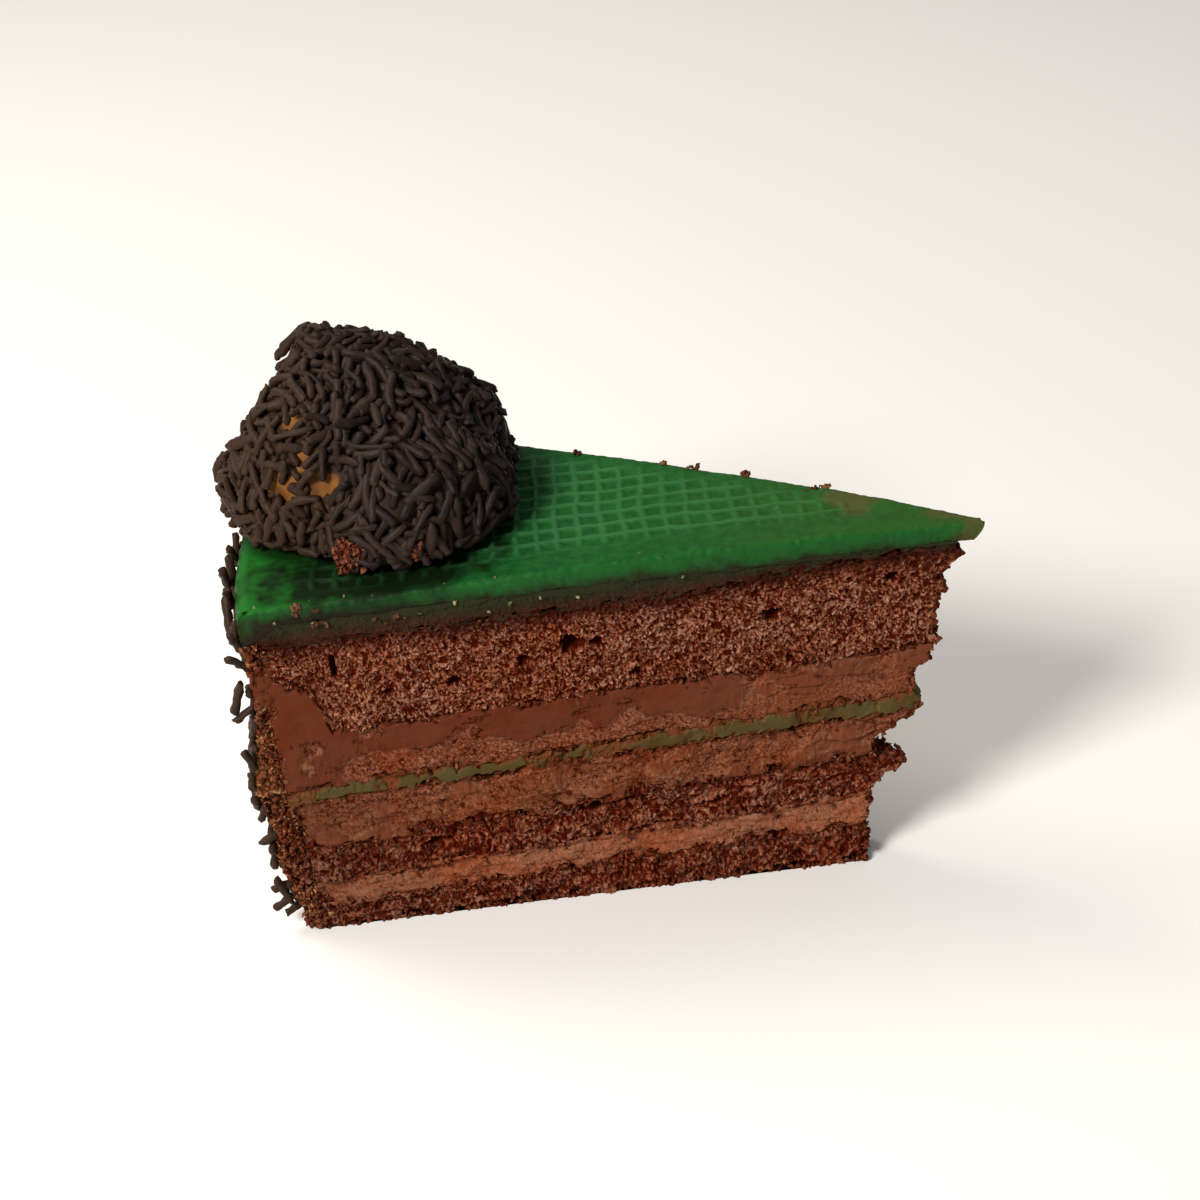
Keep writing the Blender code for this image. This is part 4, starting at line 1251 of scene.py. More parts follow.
flat_grid = np.concatenate([top_plan_grid, np.zeros((columns + 1, rows + 1, 1))], axis=-1)
slow = noise_at(flat_grid, SLOW_DENT_SIZE, 3.0)
fine = noise_at(flat_grid, FINE_DENT_SIZE, 4.0)
pressed_depth = NET_DEPTH * pressed * open_share * (1.0 + UNEVEN_PRESS * slow)
top_z = HEIGHT + crown(top_plan_grid) - pressed_depth
top_z = top_z - SLOW_DENT * np.abs(slow) - FINE_DENT * fine
number = np.arange((columns + 1) * (rows + 1)).reshape(columns + 1, rows + 1)
edge_order = np.concatenate([
    number[:-1, 0], number[-1, :-1], number[:0:-1, -1], number[0, :0:-1]])
edge_steps = {"near": columns, "arc": rows, "far": columns, "tip": rows}
edge_along = np.concatenate([np.arange(steps) / steps for steps in edge_steps.values()])


def lip_bottom(plan, side):
    """Height of the sheet's lower edge: it eases down to the lip near the outer side."""
    off_centre = np.linalg.norm(plan - CAKE_CENTRE, axis=-1)
    from_corner = core_radius(HEIGHT) + LIP_START - off_centre
    drop = (MARZIPAN_UNDERSIDE - MARZIPAN_LIP_BOTTOM) * (1.0 - ease(from_corner / LIP_EASE))
    return np.where(side == "arc", MARZIPAN_LIP_BOTTOM, MARZIPAN_UNDERSIDE - drop)


def edge_ring(share):
    """One ring of the edge: share 0 is the top, share 1 the lower edge."""
    ring = np.zeros((len(edge_order), 3))
    top_ring_z = top_z.ravel()[edge_order]
    start = 0
    for side, count in edge_steps.items():
        along = edge_along[start:start + count]
        top_height = top_ring_z[start:start + count]
        full = np.full(count, HEIGHT)
        wide = np.full(count, side_radius(HEIGHT))
        stands_back = np.full(count, MARZIPAN_TIP + TIP_UNDERCUT * share ** 1.5)
        place, _ = outline_point(side, along, full, wide, stands_back)
        bottom = lip_bottom(place, side)
        z = top_height + (bottom - top_height) * share
        fallen = np.clip((top_height - z) / EDGE_ROUND[side], 0.0, 1.0)
        inset = EDGE_ROUND[side] * (1.0 - np.sqrt(1.0 - (1.0 - fallen) ** 2))
        inset += BOTTOM_ROUND * ease((share - 0.8) / 0.2)
        radius = side_radius(z) - (inset if side == "arc" else 0.0)
        place, outward = outline_point(side, along, z, radius, stands_back)
        dents = noise_at(np.concatenate([place, z[:, None]], axis=1), EDGE_DENT_SIZE, 5.0)
        dent = TIP_DENT if side == "tip" else EDGE_DENT
        push = -dent * np.abs(dents) - (0.0 if side == "arc" else inset)
        ring[start:start + count, :2] = place + outward * push[:, None]
        ring[start:start + count, 2] = z
        start += count
    return ring


shares = np.linspace(0.0, 1.0, EDGE_ROWS + 1)[1:] ** EDGE_CROWDING
walls = [edge_ring(share) for share in shares]
lip_inner = walls[-1].copy()
lip_inner[:, :2] += (lip_inner[:, :2].mean(axis=0) - lip_inner[:, :2]) * 0.03
roof_inner = lip_inner.copy()
roof_inner[:, 2] = MARZIPAN_UNDERSIDE
middle = roof_inner.mean(axis=0)
underneath = [lip_inner, roof_inner] + [
    middle + (roof_inner - middle) * share for share in (0.8, 0.4)] + [middle[None, :]]
top_points = np.concatenate([top_plan_grid, top_z[..., None]], axis=-1).reshape(-1, 3)
points = np.concatenate([top_points, *walls, *underneath])
print("cover:", len(points), "points")

# %% Faces of the cover
count = len(edge_order)
grid_faces = np.stack([
    number[1:, :-1], number[:-1, :-1], number[:-1, 1:], number[1:, 1:],
], axis=-1).reshape(-1, 4)
faces = [grid_faces]
upper = edge_order
filled = len(top_points)
for ring in [*walls, *underneath[:-1]]:
    lower = filled + np.arange(count)
    faces.append(np.stack([
        lower, upper, np.roll(upper, -1), np.roll(lower, -1)], axis=1))
    upper = lower
    filled += count
fan = np.stack([np.roll(upper, -1), upper, np.full(count, filled)], axis=1)
faces = np.concatenate(faces).tolist() + fan.tolist()
item = add_piece("marzipan_sheet", points, faces)
depth_share = np.zeros(len(points))
for row, share in enumerate(shares):
    start = len(top_points) + row * count
    depth_share[start:start + count] = share
depth_share[len(top_points) + len(walls) * count:] = 1.0
print(item.name, len(item.data.polygons), "faces,", round(volume_of(item), 2), "cm3")

# %% Marks on the cover: the net, the truffle's painted shadow with cocoa, and the browned places
# The truffle's painted shadow on the sheet, with some smeared cocoa, darkest at its foot as shade
SHADOW_SMEAR_MIDDLE = np.array((-0.0985, 0.0090))
SHADOW_SMEAR_REACH = np.array((0.0215, 0.0125))
SHADOW_SMEAR_FULL = 0.60
SHADOW_SMEAR_RAGGED = 0.38
LESS_SHADOW_SMEAR_BELOW = 0.35
FOOT_SHADE = 0.85
FOOT_SHADE_REACH = 0.0050
FOOT_RADIUS = 0.0222
# Of each browned place: its middle and how far it reaches
BROWNED_PLACES = (
    ((-0.0195, 0.0115), 0.0060), ((0.0, 0.0020), 0.0075), ((-0.006, 0.0050), 0.0040),
)
BROWNED_RAGGED = 0.5
BROWNED_FULL = 0.45


def top_mark(values):
    """Values of the top grid's points, with 0 for every point below it."""
    return np.concatenate([values.ravel(), np.zeros(len(points) - len(top_points))])


plan = points[:, :2]
uneven = noise_at(points, 0.0040, 13.0) + 0.5 * noise_at(points, 0.0014, 14.0)
off_shadow_smear = np.linalg.norm((plan - SHADOW_SMEAR_MIDDLE) / SHADOW_SMEAR_REACH, axis=1)
shadow_smear = 1.0 - ease((off_shadow_smear + SHADOW_SMEAR_RAGGED * uneven - SHADOW_SMEAR_FULL) / SHADOW_SMEAR_FULL)
from_truffle = plan - TRUFFLE_PLAN
off_truffle = np.linalg.norm(from_truffle, axis=1)
off_foot = off_truffle - FOOT_RADIUS - low_bulge(from_truffle / off_truffle[:, None])
shadow_smear = np.maximum(shadow_smear, FOOT_SHADE * (1.0 - ease(off_foot / FOOT_SHADE_REACH)))
shadow_smear = shadow_smear * (1.0 - LESS_SHADOW_SMEAR_BELOW * ease(depth_share / 0.25))
browned = np.zeros(len(points))
for middle, reach in BROWNED_PLACES:
    off = np.linalg.norm(plan - np.array(middle), axis=1) / reach
    off = off + BROWNED_RAGGED * uneven
    browned = np.maximum(browned, 1.0 - ease((off - BROWNED_FULL) / (1.0 - BROWNED_FULL)))
cover_marks = {
    "pressed": top_mark(pressed), "netted": top_mark(open_share), "depth_share": depth_share,
    "shadow_smear": shadow_smear, "browned": browned,
}
for name, values in cover_marks.items():
    add_attribute(item, name, values)
item.data.shade_smooth()
print("cover marks:", ", ".join(cover_marks))

# %% [markdown]
# ## Marzipan's colours
# Green food colour in almond paste: a soft mid green, painted lighter and greyer on the raised
# lines as a highlight, deeper in the squares, and more yellow towards the tip. Towards the outer
# side it is painted a brighter green where the corner glows in the light. The cut edge is painted
# darker down to its bottom as shade, through olive to brown, where the cream also stained it.
# The truffle's shadow is painted over the sheet at its foot and in front of it, with some smeared
# cocoa, and cocoa browned two places near the tip. The sheet has a waxy sheen, and light goes a
# little way into it.

# %% The marzipan finish
MOTTLE_SIZE = 0.0016
MOTTLE_START, MOTTLE_FULL = 0.38, 0.66
# Of each change along the slice: where it starts and ends, and its share at either end
GREEN_CHANGES = {
    # side: a brighter green towards the outer side, painted light where the corner glows
    "side": (-0.058, -0.030, 0.75, 0.0),
    "tip": (-0.005, 0.062, 0.0, 0.55),
    # edge: painted shade on the cut edge, deeper towards the outer side, less towards the tip
    "edge": (-0.050, -0.015, 0.22, -0.16),
}
EDGE_WAVE = 0.22
EDGE_WAVE_SIZE = 0.003
EDGE_START, EDGE_FULL = 0.02, 0.16
# The cut edge from its top down, painted darker as shade: share of the depth, and colour
EDGE_SHADE_GREENS = ((0.40, "#17481b"), (0.66, "#1b3414"), (0.86, "#1c220d"))
MOST_BROWNED = 0.65
LESS_SHADOW_SMEAR_ON_LINES = -0.15
MOST_SHADOW_SMEAR = 0.94
MARZIPAN_GRAIN = 0.0004

marzipan_finish, tree, shader, place = start_finish("green marzipan", {
    "Roughness": 0.45, "Specular IOR Level": 0.08, "Subsurface Weight": 0.15,
    "Subsurface Radius": (0.6, 1.0, 0.3), "Subsurface Scale": 0.0012})
along = add_node(tree, "ShaderNodeSeparateXYZ", inputs={"Vector": place})
mark_of = read_marks(tree, ("pressed", "netted", "depth_share", "browned", "shadow_smear"))
# Painted highlight: the raised lines are lighter, so the squares between them stay darker
raised = add_node(tree, "ShaderNodeMath", SUBTRACT, {0: 1.0, 1: mark_of["pressed"]})
lit_line_share = add_node(tree, "ShaderNodeMath", MULTIPLY, {0: raised, 1: mark_of["netted"]})
mottle = add_node(tree, "ShaderNodeTexNoise", inputs={
    "Vector": place, "Scale": 1.0 / MOTTLE_SIZE, "Detail": 4.0, "Roughness": 0.6})
mottle_share = add_node(tree, "ShaderNodeMapRange", inputs={
    "Value": mottle, "From Min": MOTTLE_START, "From Max": MOTTLE_FULL})
changes = {}
for name, (start, end, first, last) in GREEN_CHANGES.items():
    changes[name] = add_node(tree, "ShaderNodeMapRange", SMOOTH, {
        "Value": along.outputs["X"], "From Min": start, "From Max": end, "To Min": first,
        "To Max": last})
edge_noise = add_node(tree, "ShaderNodeTexNoise", inputs={
    "Vector": place, "Scale": 1.0 / EDGE_WAVE_SIZE, "Detail": 3.0})
edge_wave = add_node(tree, "ShaderNodeMapRange", UNCLAMPED, {
    "Value": edge_noise, "From Min": NOISE_LOW, "From Max": NOISE_HIGH, "To Min": -EDGE_WAVE,
    "To Max": EDGE_WAVE})
edge_uneven = add_node(tree, "ShaderNodeMath", ADD, {0: changes["edge"], 1: edge_wave})
edge_shade_depth = add_node(tree, "ShaderNodeMath", CLAMPED_ADD, {
    0: mark_of["depth_share"], 1: edge_uneven})
edge_shade_ramp = add_node(tree, "ShaderNodeValToRGB", inputs={"Fac": edge_shade_depth})
edge_shade_ramp.color_ramp.elements[0].color = linear("#18511d")
edge_shade_ramp.color_ramp.elements[1].color = linear("#1e160a")
for position, code in EDGE_SHADE_GREENS:
    edge_shade_ramp.color_ramp.elements.new(position).color = linear(code)
on_edge = add_node(tree, "ShaderNodeMapRange", SMOOTH, {
    "Value": mark_of["depth_share"], "From Min": EDGE_START, "From Max": EDGE_FULL})
browned_share = add_node(tree, "ShaderNodeMath", MULTIPLY, {
    0: mark_of["browned"], 1: MOST_BROWNED})
shadow_smear_ridge = add_node(tree, "ShaderNodeMath", MULTIPLY_ADD, {
    0: lit_line_share, 1: LESS_SHADOW_SMEAR_ON_LINES, 2: 1.0})
shadow_smear_dark = add_node(tree, "ShaderNodeMath", MULTIPLY, {0: mark_of["shadow_smear"], 1: shadow_smear_ridge})
shadow_smear_share = add_node(tree, "ShaderNodeMath", MULTIPLY, {0: shadow_smear_dark, 1: MOST_SHADOW_SMEAR})

# %% The greens laid over one another, each by its share
# Painted light among these: brighter green outside, line highlight, edge shade, truffle's shadow
colour = linear("#12451a")
for share, over in (
    (mottle_share, linear("#1a5422")), (lit_line_share, linear("#2a5f33")),
    (changes["side"], linear("#175f17")), (changes["tip"], linear("#32501a")),
    (on_edge, edge_shade_ramp), (browned_share, linear("#4d4424")),
    (shadow_smear_share, linear("#0c1208")),
):
    laid = add_node(tree, "ShaderNodeMix", COLOURS, {0: share, 6: colour, 7: over})
    colour = laid.outputs[2]
fine_grain = add_node(tree, "ShaderNodeTexNoise", inputs={
    "Vector": place, "Scale": 1.0 / MARZIPAN_GRAIN, "Detail": 2.0})
end_finish(tree, shader, colour, fine_grain, 0.3, 0.0001)
print("marzipan finish:", len(tree.nodes), "nodes")
item.data.materials.append(marzipan_finish)
keep_in_box(item.data)
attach(item, "root")
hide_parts("marzipan_cover")

# %% [markdown]
# ## Sprinkles
# Chocolate sprinkles are short bent rods about 1.5 mm thick with narrower ends. Each one starts
# as a bent line with a thickness along it and a tone of its own. One tree turns all the lines
# of a piece into rods at once.

# %% The tree that turns lines into rods
ROD_SIDES = 8.0
ROD_DENT = 0.0012
ROD_DENT_SIZE = 0.0011
ROD_SHARES = np.array((0.0, 0.035, 0.12, 0.31, 0.5, 0.69, 0.88, 0.965, 1.0))
ROD_TAPER = np.array((0.45, 0.84, 1.0, 1.0, 1.0, 1.0, 1.0, 0.84, 0.45))
ROD_POINTS = len(ROD_SHARES)
tree, given = start_tree("tapered rods", ("Sides",))
line = add_node(tree, "GeometryNodeMeshToCurve", inputs={"Mesh": given["Geometry"]})
profile = add_node(tree, "GeometryNodeCurvePrimitiveCircle", inputs={
    "Resolution": given["Sides"], "Radius": 1.0})
thick = add_node(tree, "GeometryNodeInputNamedAttribute", NUMBERS, {"Name": "thick"})
rods = add_node(tree, "GeometryNodeCurveToMesh", inputs={
    "Curve": line, "Profile Curve": profile.outputs["Curve"], "Scale": thick,
    "Fill Caps": True})
dents = add_node(tree, "ShaderNodeTexNoise", inputs={
    "Vector": add_node(tree, "GeometryNodeInputPosition"), "Scale": 1.0 / ROD_DENT_SIZE,
    "Detail": 1.0})
end_tree(tree, push_by_noise(tree, rods, dents, ROD_DENT), given["Finish"])
rod_tree = tree


def add_rods(name, lines, radii, finish, seed):
    """One piece of many rods. Each line has the same number of points."""
    rng = np.random.default_rng(seed)
    count, length = lines.shape[:2]
    mesh = bpy.data.meshes.new(name)
    first = np.arange(count * length).reshape(count, length)
    edges = np.stack([first[:, :-1].ravel(), first[:, 1:].ravel()], axis=1)
    mesh.from_pydata((lines.reshape(-1, 3) + tip_corner).tolist(), edges.tolist(), [])
    item = bpy.data.objects.new(name, mesh)
    bpy.context.scene.collection.objects.link(item)
    add_attribute(item, "thick", (radii[:, None] * ROD_TAPER).ravel())
    add_attribute(item, "tone_and_shade", np.repeat(rng.uniform(0.0, 1.0, count), length))
    run_tree(item, rod_tree, {"Sides": ROD_SIDES, "Finish": finish})
    print(name, count, "rods,", round(volume_of(item), 3), "cm3")
    return item


print("rod tree ready")

# %% [markdown]
# ## Chocolate for the truffle
# Dark chocolate, with a dull sheen from handling. Each sprinkle keeps its own tone, from nearly
# black to a dusty brown, and those on the left are painted lighter and browner, as painted light
# from that side.

# %% The chocolate finishes
LIT_SIDE = (-0.054, -0.034)
MOST_SIDE_LIGHT = 0.5
CHOCOLATE_SWING = 0.3


def chocolate(name, dark, light, roughness, grain_size):
    """Chocolate in dark to light tones, lit left side painted browner, nougat where it is bare.
    """
    made, tree, shader, place = start_finish(name, {
        "Roughness": roughness, "Specular IOR Level": 0.08})
    marks = read_marks(tree, ("tone_and_shade", "bare"))
    grain = add_node(tree, "ShaderNodeTexNoise", inputs={
        "Vector": place, "Scale": 1.0 / grain_size, "Detail": 3.0})
    spread = add_node(tree, "ShaderNodeMapRange", UNCLAMPED, {
        "Value": grain, "From Min": NOISE_LOW, "From Max": NOISE_HIGH,
        "To Min": -CHOCOLATE_SWING, "To Max": CHOCOLATE_SWING})
    share = add_node(tree, "ShaderNodeMath", CLAMPED_ADD, {0: marks["tone_and_shade"], 1: spread})
    along = add_node(tree, "ShaderNodeSeparateXYZ", inputs={"Vector": place})
    lit_left = add_node(tree, "ShaderNodeMapRange", SMOOTH, {
        "Value": along, "From Min": LIT_SIDE[0], "From Max": LIT_SIDE[1],
        "To Min": MOST_SIDE_LIGHT, "To Max": 0.0})
    nougat = add_node(tree, "ShaderNodeMix", COLOURS, {
        0: share, 6: linear("#4a2a10"), 7: linear("#7c5024")})
    colour = linear(dark)
    for amount, over in (
        (share, linear(light)), (lit_left, linear("#3a2818")), (marks["bare"], nougat.outputs[2]),
    ):
        laid = add_node(tree, "ShaderNodeMix", COLOURS, {0: amount, 6: colour, 7: over})
        colour = laid.outputs[2]
    end_finish(tree, shader, colour, grain, 0.4, 0.0001)
    return made


sprinkle_finish = chocolate("dark chocolate sprinkles", "#1e1513", "#30241f", 0.48, 0.0007)
filler_finish = chocolate("truffle chocolate", "#221815", "#2e211a", 0.6, 0.0018)
print("made two chocolate finishes")

# %% [markdown]
# ## The truffle
# A ball of truffle cream that settled to a dome with a flatter foot. It bulges low on the near
# side, towards the tip, and is flatter in a few places. Its surface is lumpy under the
# sprinkles, with some bare patches of nougat on the left. The sprinkles are thrown one
# at a time and kept only where they find room: a bed of them, then two beds that lie on top.

# %% The truffle's body
TRUFFLE_CENTRE = np.array((*TRUFFLE_PLAN, HEIGHT + 0.0040))
TRUFFLE_FOOT = 0.0106
TRUFFLE_BASE = HEIGHT + 0.0003
BODY_INSET = 0.0011
BODY_LUMP = 0.0006
# Of each small bulge: the way it faces, how near that way it starts and how high it is
BULGES = (((0.96, 0.10, 0.22), 0.50, 0.0012), ((-0.36, 0.42, 0.833), 0.94, 0.0018))
# Of each flat side: the way it faces and how far it is from the middle
FLAT_SIDES = (
    ((-0.757, 0.367, 0.541), 0.0188), ((-0.87, 0.27, 0.42), 0.0206),
    ((0.42, 0.48, 0.77), 0.0222), ((0.643, 0.413, 0.645), 0.0213),
)
# Of each bare patch: the way it faces and how wide it is, on a ball of radius 1
BARE_PATCHES = (
    ((-0.253, -0.875, 0.412), 0.15), ((-0.537, -0.762, 0.363), 0.15),
    ((-0.339, -0.759, 0.556), 0.12), ((-0.384, -0.517, 0.765), 0.09),
)
BODY_LUMP_SIZE = 0.0042
BODY_RINGS = 90
BODY_SIDES = 180


def dome_point(outward, proud):
    """Points of the truffle: a ball above its widest ring, a flatter foot below."""
    reach = TRUFFLE_RADIUS + proud + low_bulge(outward)
    for facing, distance in FLAT_SIDES:
        towards = np.maximum(outward @ np.array(facing), 0.01)
        reach = np.minimum(reach, (distance + proud) / towards)
    for facing, start, amount in BULGES:
        reach = reach + amount * ease((outward @ np.array(facing) - start) / (1.0 - start))
    height = np.where(outward[..., 2] > 0.0, reach, TRUFFLE_FOOT + proud)
    return TRUFFLE_CENTRE + np.stack([
        outward[..., 0] * reach, outward[..., 1] * reach, outward[..., 2] * height], axis=-1)


base_angle = math.acos((TRUFFLE_BASE - TRUFFLE_CENTRE[2]) / TRUFFLE_FOOT)
polar = np.linspace(base_angle, 0.0, BODY_RINGS + 1)[:-1, None]
turn = np.linspace(0.0, -math.tau, BODY_SIDES, endpoint=False)[None, :]
outward = np.stack([
    np.sin(polar) * np.cos(turn), np.sin(polar) * np.sin(turn),
    np.broadcast_to(np.cos(polar), (BODY_RINGS, BODY_SIDES))], axis=-1)
lumps = noise_at(outward * TRUFFLE_RADIUS, BODY_LUMP_SIZE, 6.0)
lumps += 0.4 * noise_at(outward * TRUFFLE_RADIUS, BODY_LUMP_SIZE / 2.6, 7.0)
body = dome_point(outward, BODY_LUMP * lumps - BODY_INSET)
body[0, :, 2] = TRUFFLE_BASE + crown(body[0, :, :2])
peak = dome_point(np.array((0.0, 0.0, 1.0)), -BODY_INSET)[None, :]
foot = np.array((*TRUFFLE_PLAN, TRUFFLE_BASE))[None, :]
points, faces = closed_solid(body, [foot], [peak])
item = add_piece("truffle_body", points, faces)
bare = np.zeros(outward.shape[:-1])
for facing, wide in BARE_PATCHES:
    off = np.linalg.norm(outward - np.array(facing), axis=-1)
    rim = wide * (0.75 + 0.6 * lumps)
    bare = np.maximum(bare, 1.0 - ease((off - rim) / 0.03))
add_attribute(item, "tone_and_shade", np.concatenate([0.5 + 0.5 * lumps.ravel(), [0.5, 0.5]]))
add_attribute(item, "bare", np.concatenate([bare.ravel(), [0.0, 0.0]]))
item.data.materials.append(filler_finish)
item.data.shade_smooth()
print(item.name, len(faces), "faces,", round(volume_of(item), 2), "cm3")
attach(item, "root")

# %% Throwing the sprinkles
SPRINKLE_RADIUS = 0.00074
SPRINKLE_LENGTHS = (0.0032, 0.0080)
# Of each bed: how many, how proud, how far apart, and the share of a bare patch kept clear
SPRINKLE_BEDS = (
    (540, -0.0010, 0.00102, 1.0), (490, -0.0004, 0.00108, 0.95), (300, 0.0001, 0.0013, 0.75),
)
THROWS_EACH = 12
SPRINKLE_BEND = 0.26
SPRINKLE_TILT = 0.0013
DOWNHILL_BIAS = 0.6
# Sprinkles that stand off: their two ends in millimetres from the truffle's middle
STRAYS = (
    ((-12.5, 12.0, 17.2), (-7.0, 12.0, 21.8)), ((-11.6, 11.0, 17.9), (-6.4, 11.4, 22.4)),
    ((-11.2, 12.6, 18.4), (-5.8, 12.6, 22.4)), ((-9.0, 11.0, 19.4), (-5.2, 11.6, 22.4)),
    ((-7.6, 10.0, 18.4), (-5.4, 11.0, 22.2)), ((-22.9, 4.0, 4.6), (-25.7, 4.0, -0.6)),
)


def rod_on_dome(rng, proud):
    """A bent line of points that lies on the dome somewhere."""
    lowest = (TRUFFLE_BASE + 0.0012 - TRUFFLE_CENTRE[2]) / TRUFFLE_FOOT
    cosine = rng.uniform(lowest * 0.75, 1.0)
    angle = rng.uniform(0.0, math.tau)
    sine = math.sqrt(1.0 - cosine ** 2)
    out = np.array((sine * math.cos(angle), sine * math.sin(angle), cosine))
    level = np.array((-math.sin(angle), math.cos(angle), 0.0))
    downhill = np.cross(level, out)
    lean = rng.normal(0.0, math.pi / 2.0 * DOWNHILL_BIAS)
    direction = downhill * math.cos(lean) + level * math.sin(lean)
    length = rng.uniform(*SPRINKLE_LENGTHS)
    steps = (ROD_SHARES - 0.5)[:, None] * length
    bend = rng.uniform(-SPRINKLE_BEND, SPRINKLE_BEND) / length * 2.0
    side = np.cross(direction, out)
    flat = out * TRUFFLE_RADIUS + direction * steps + side * bend * steps ** 2
    round_out = flat / np.linalg.norm(flat, axis=1)[:, None]
    tilt = rng.uniform(-1.0, 1.0) * SPRINKLE_TILT * (2.0 * ROD_SHARES - 1.0)
    return out, dome_point(round_out, proud + tilt)


def throw(rng, wanted, proud, apart, clear):
    """Keep thrown rods that stay apart from those already kept in the same bed."""
    patches = [(np.array(facing), wide * clear) for facing, wide in BARE_PATCHES]
    kept = []
    for _ in range(wanted * THROWS_EACH):
        if len(kept) >= wanted:
            break
        out, rod = rod_on_dome(rng, proud)
        bare = any(np.linalg.norm(out - facing) < wide for facing, wide in patches)
        if bare or rod[:, 2].min() < TRUFFLE_BASE + SPRINKLE_RADIUS + CROWN * 0.6:
            continue
        if kept:
            others = np.concatenate(kept)
            close = np.abs(others - rod.mean(axis=0)).max(axis=1) < SPRINKLE_LENGTHS[1]
            gaps = np.linalg.norm(others[close][:, None] - rod[None, ::2], axis=-1)
            if gaps.size and gaps.min() < apart:
                continue
        kept.append(rod)
    print("bed of", len(kept), "sprinkles")
    return kept


rng = np.random.default_rng(11)
rods = [rod for bed in SPRINKLE_BEDS for rod in throw(rng, *bed)]
share = ROD_SHARES[:, None]
for start, end in STRAYS:
    start, end = np.array(start) / 1000.0, np.array(end) / 1000.0
    sag = np.array((0.0, 0.0, 0.0006)) * (1.0 - (2.0 * share - 1.0) ** 2)
    rods.append(TRUFFLE_CENTRE + start + (end - start) * share + sag)
lines = np.array(rods)
radii = SPRINKLE_RADIUS * rng.uniform(0.72, 1.16, len(rods))
lines[..., 2] = np.minimum(lines[..., 2], cad_box[1][2] - radii.max())
item = add_rods("truffle_sprinkles", lines, radii, sprinkle_finish, 5)
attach(item, "root")
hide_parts("truffle")
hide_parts("truffle")

# %% [markdown]
# ## The cream coat on the outer side
# A coat 2 to 5 mm thick stands on the outer side, under the marzipan's lip. Its cut end shows on
# the near face, so that end is as fine as the layers beside it. The coat is a stack of rings:
# along its inside, out across the near end, along its outside and back across the far end.

# %% Build the coat
COAT_STEPS = {"inside": 40, "near_end": 26, "outside": 230, "far_end": 10}
COAT_ROW = 0.00024
COAT_LUMP = 0.0008
COAT_LUMP_SIZE = 0.0042
COAT_KNOB = 0.0005
COAT_KNOB_SIZE = 0.0014
COAT_OVERLAP = 0.0026
COAT_SLOPE = 0.0005
COAT_CORNER = 0.0022
ARC_LENGTH = 0.064
# The coat is paler between two heights, and smooth above a third
PATCH_LOW = 0.028
PATCH_HIGH = 0.041
PATCH_FADE = 0.004
PATCH_STAIN = 0.15
SMOOTH_FROM = 0.040
SMOOTH_FADE = 0.008

row_z = np.linspace(0.0, MARZIPAN_LIP_BOTTOM - 0.0003, int(MARZIPAN_LIP_BOTTOM / COAT_ROW))
outer_radius = side_radius(row_z)
ragged = np.array([noise.noise(Vector((0.0, 3.0, z / 0.003))) for z in row_z])
inner_radius = core_radius(row_z) - COAT_OVERLAP
corner = (COAT_CORNER * (0.75 + 0.5 * ragged))[:, None]


def round_corner(distance):
    """Turn of the surface near the coat's corner, and how far it draws in and shifts."""
    turn = math.pi / 4.0 * (1.0 - np.clip(distance / corner, 0.0, 1.0))
    shift = corner * (1.0 - np.sin(turn)) - distance
    return turn, corner * (1.0 - np.cos(turn)), np.where(turn > 0.0, shift, 0.0)


parts = []
outs = []
for side, steps in COAT_STEPS.items():
    share = np.arange(steps)[None, :] / steps
    z = np.broadcast_to(row_z[:, None], (len(row_z), steps))
    if side == "inside":
        plan, out = arc_point(1.0 - share, inner_radius[:, None], z)
        out = -out
    elif side == "outside":
        plan, out = arc_point(share, outer_radius[:, None], z)
        _, rounding, shift = round_corner(share * ARC_LENGTH)
        along_arc = pair(-out[..., 1], out[..., 0]) * -1.0
        plan = plan - out * rounding[..., None] + along_arc * shift[..., None]
    else:
        along = np.full(z.shape, 0.0 if side == "near_end" else 1.0)
        reach = share if side == "near_end" else 1.0 - share
        width = (outer_radius - inner_radius)[:, None]
        plan, _ = arc_point(along, inner_radius[:, None] + width * reach, z)
        out = np.broadcast_to(
            np.array((0.0, -1.0)) if side == "near_end" else FAR_OUTWARD, plan.shape)
        if side == "near_end":
            turn, rounding, shift = round_corner(width * (1.0 - reach))
            from_inside = reach * width / COAT_OVERLAP + 0.5 * ragged[:, None]
            slope = COAT_SLOPE * (1.0 - ease(from_inside))
            plan = plan + pair(shift, rounding + slope)
            out = pair(-np.sin(turn), -np.cos(turn))
    parts.append(np.concatenate([plan, z[..., None]], axis=-1))
    outs.append(np.concatenate([out, np.zeros(z.shape + (1,))], axis=-1))
walls = np.concatenate(parts, axis=1)
outwards = np.concatenate(outs, axis=1)
lumps = noise_at(walls, COAT_LUMP_SIZE, 9.0)
side_names = np.concatenate([[side] * steps for side, steps in COAT_STEPS.items()])
moving = (side_names == "outside").astype(float)
knobs = noise_at(walls, COAT_KNOB_SIZE, 10.0)
swell = (COAT_LUMP * lumps + COAT_KNOB * knobs) * moving
walls = walls + outwards * swell[..., None]
rows, count = walls.shape[:2]
faces = np.concatenate([
    ring_faces(count, row * count, (row + 1) * count) for row in range(rows - 1)]).tolist()
faces.append(list(range(count)))
faces.append(list(range((rows - 1) * count, rows * count))[::-1])
item = add_piece("side_coat_cream", walls.reshape(-1, 3), faces)
print(item.name, len(faces), "faces,", round(volume_of(item), 2), "cm3")
free = np.broadcast_to(side_names != "inside", (rows, count)).astype(float)
z = walls[..., 2]
smooth_top = 0.14 - 0.30 * ease((z - SMOOTH_FROM) / SMOOTH_FADE)
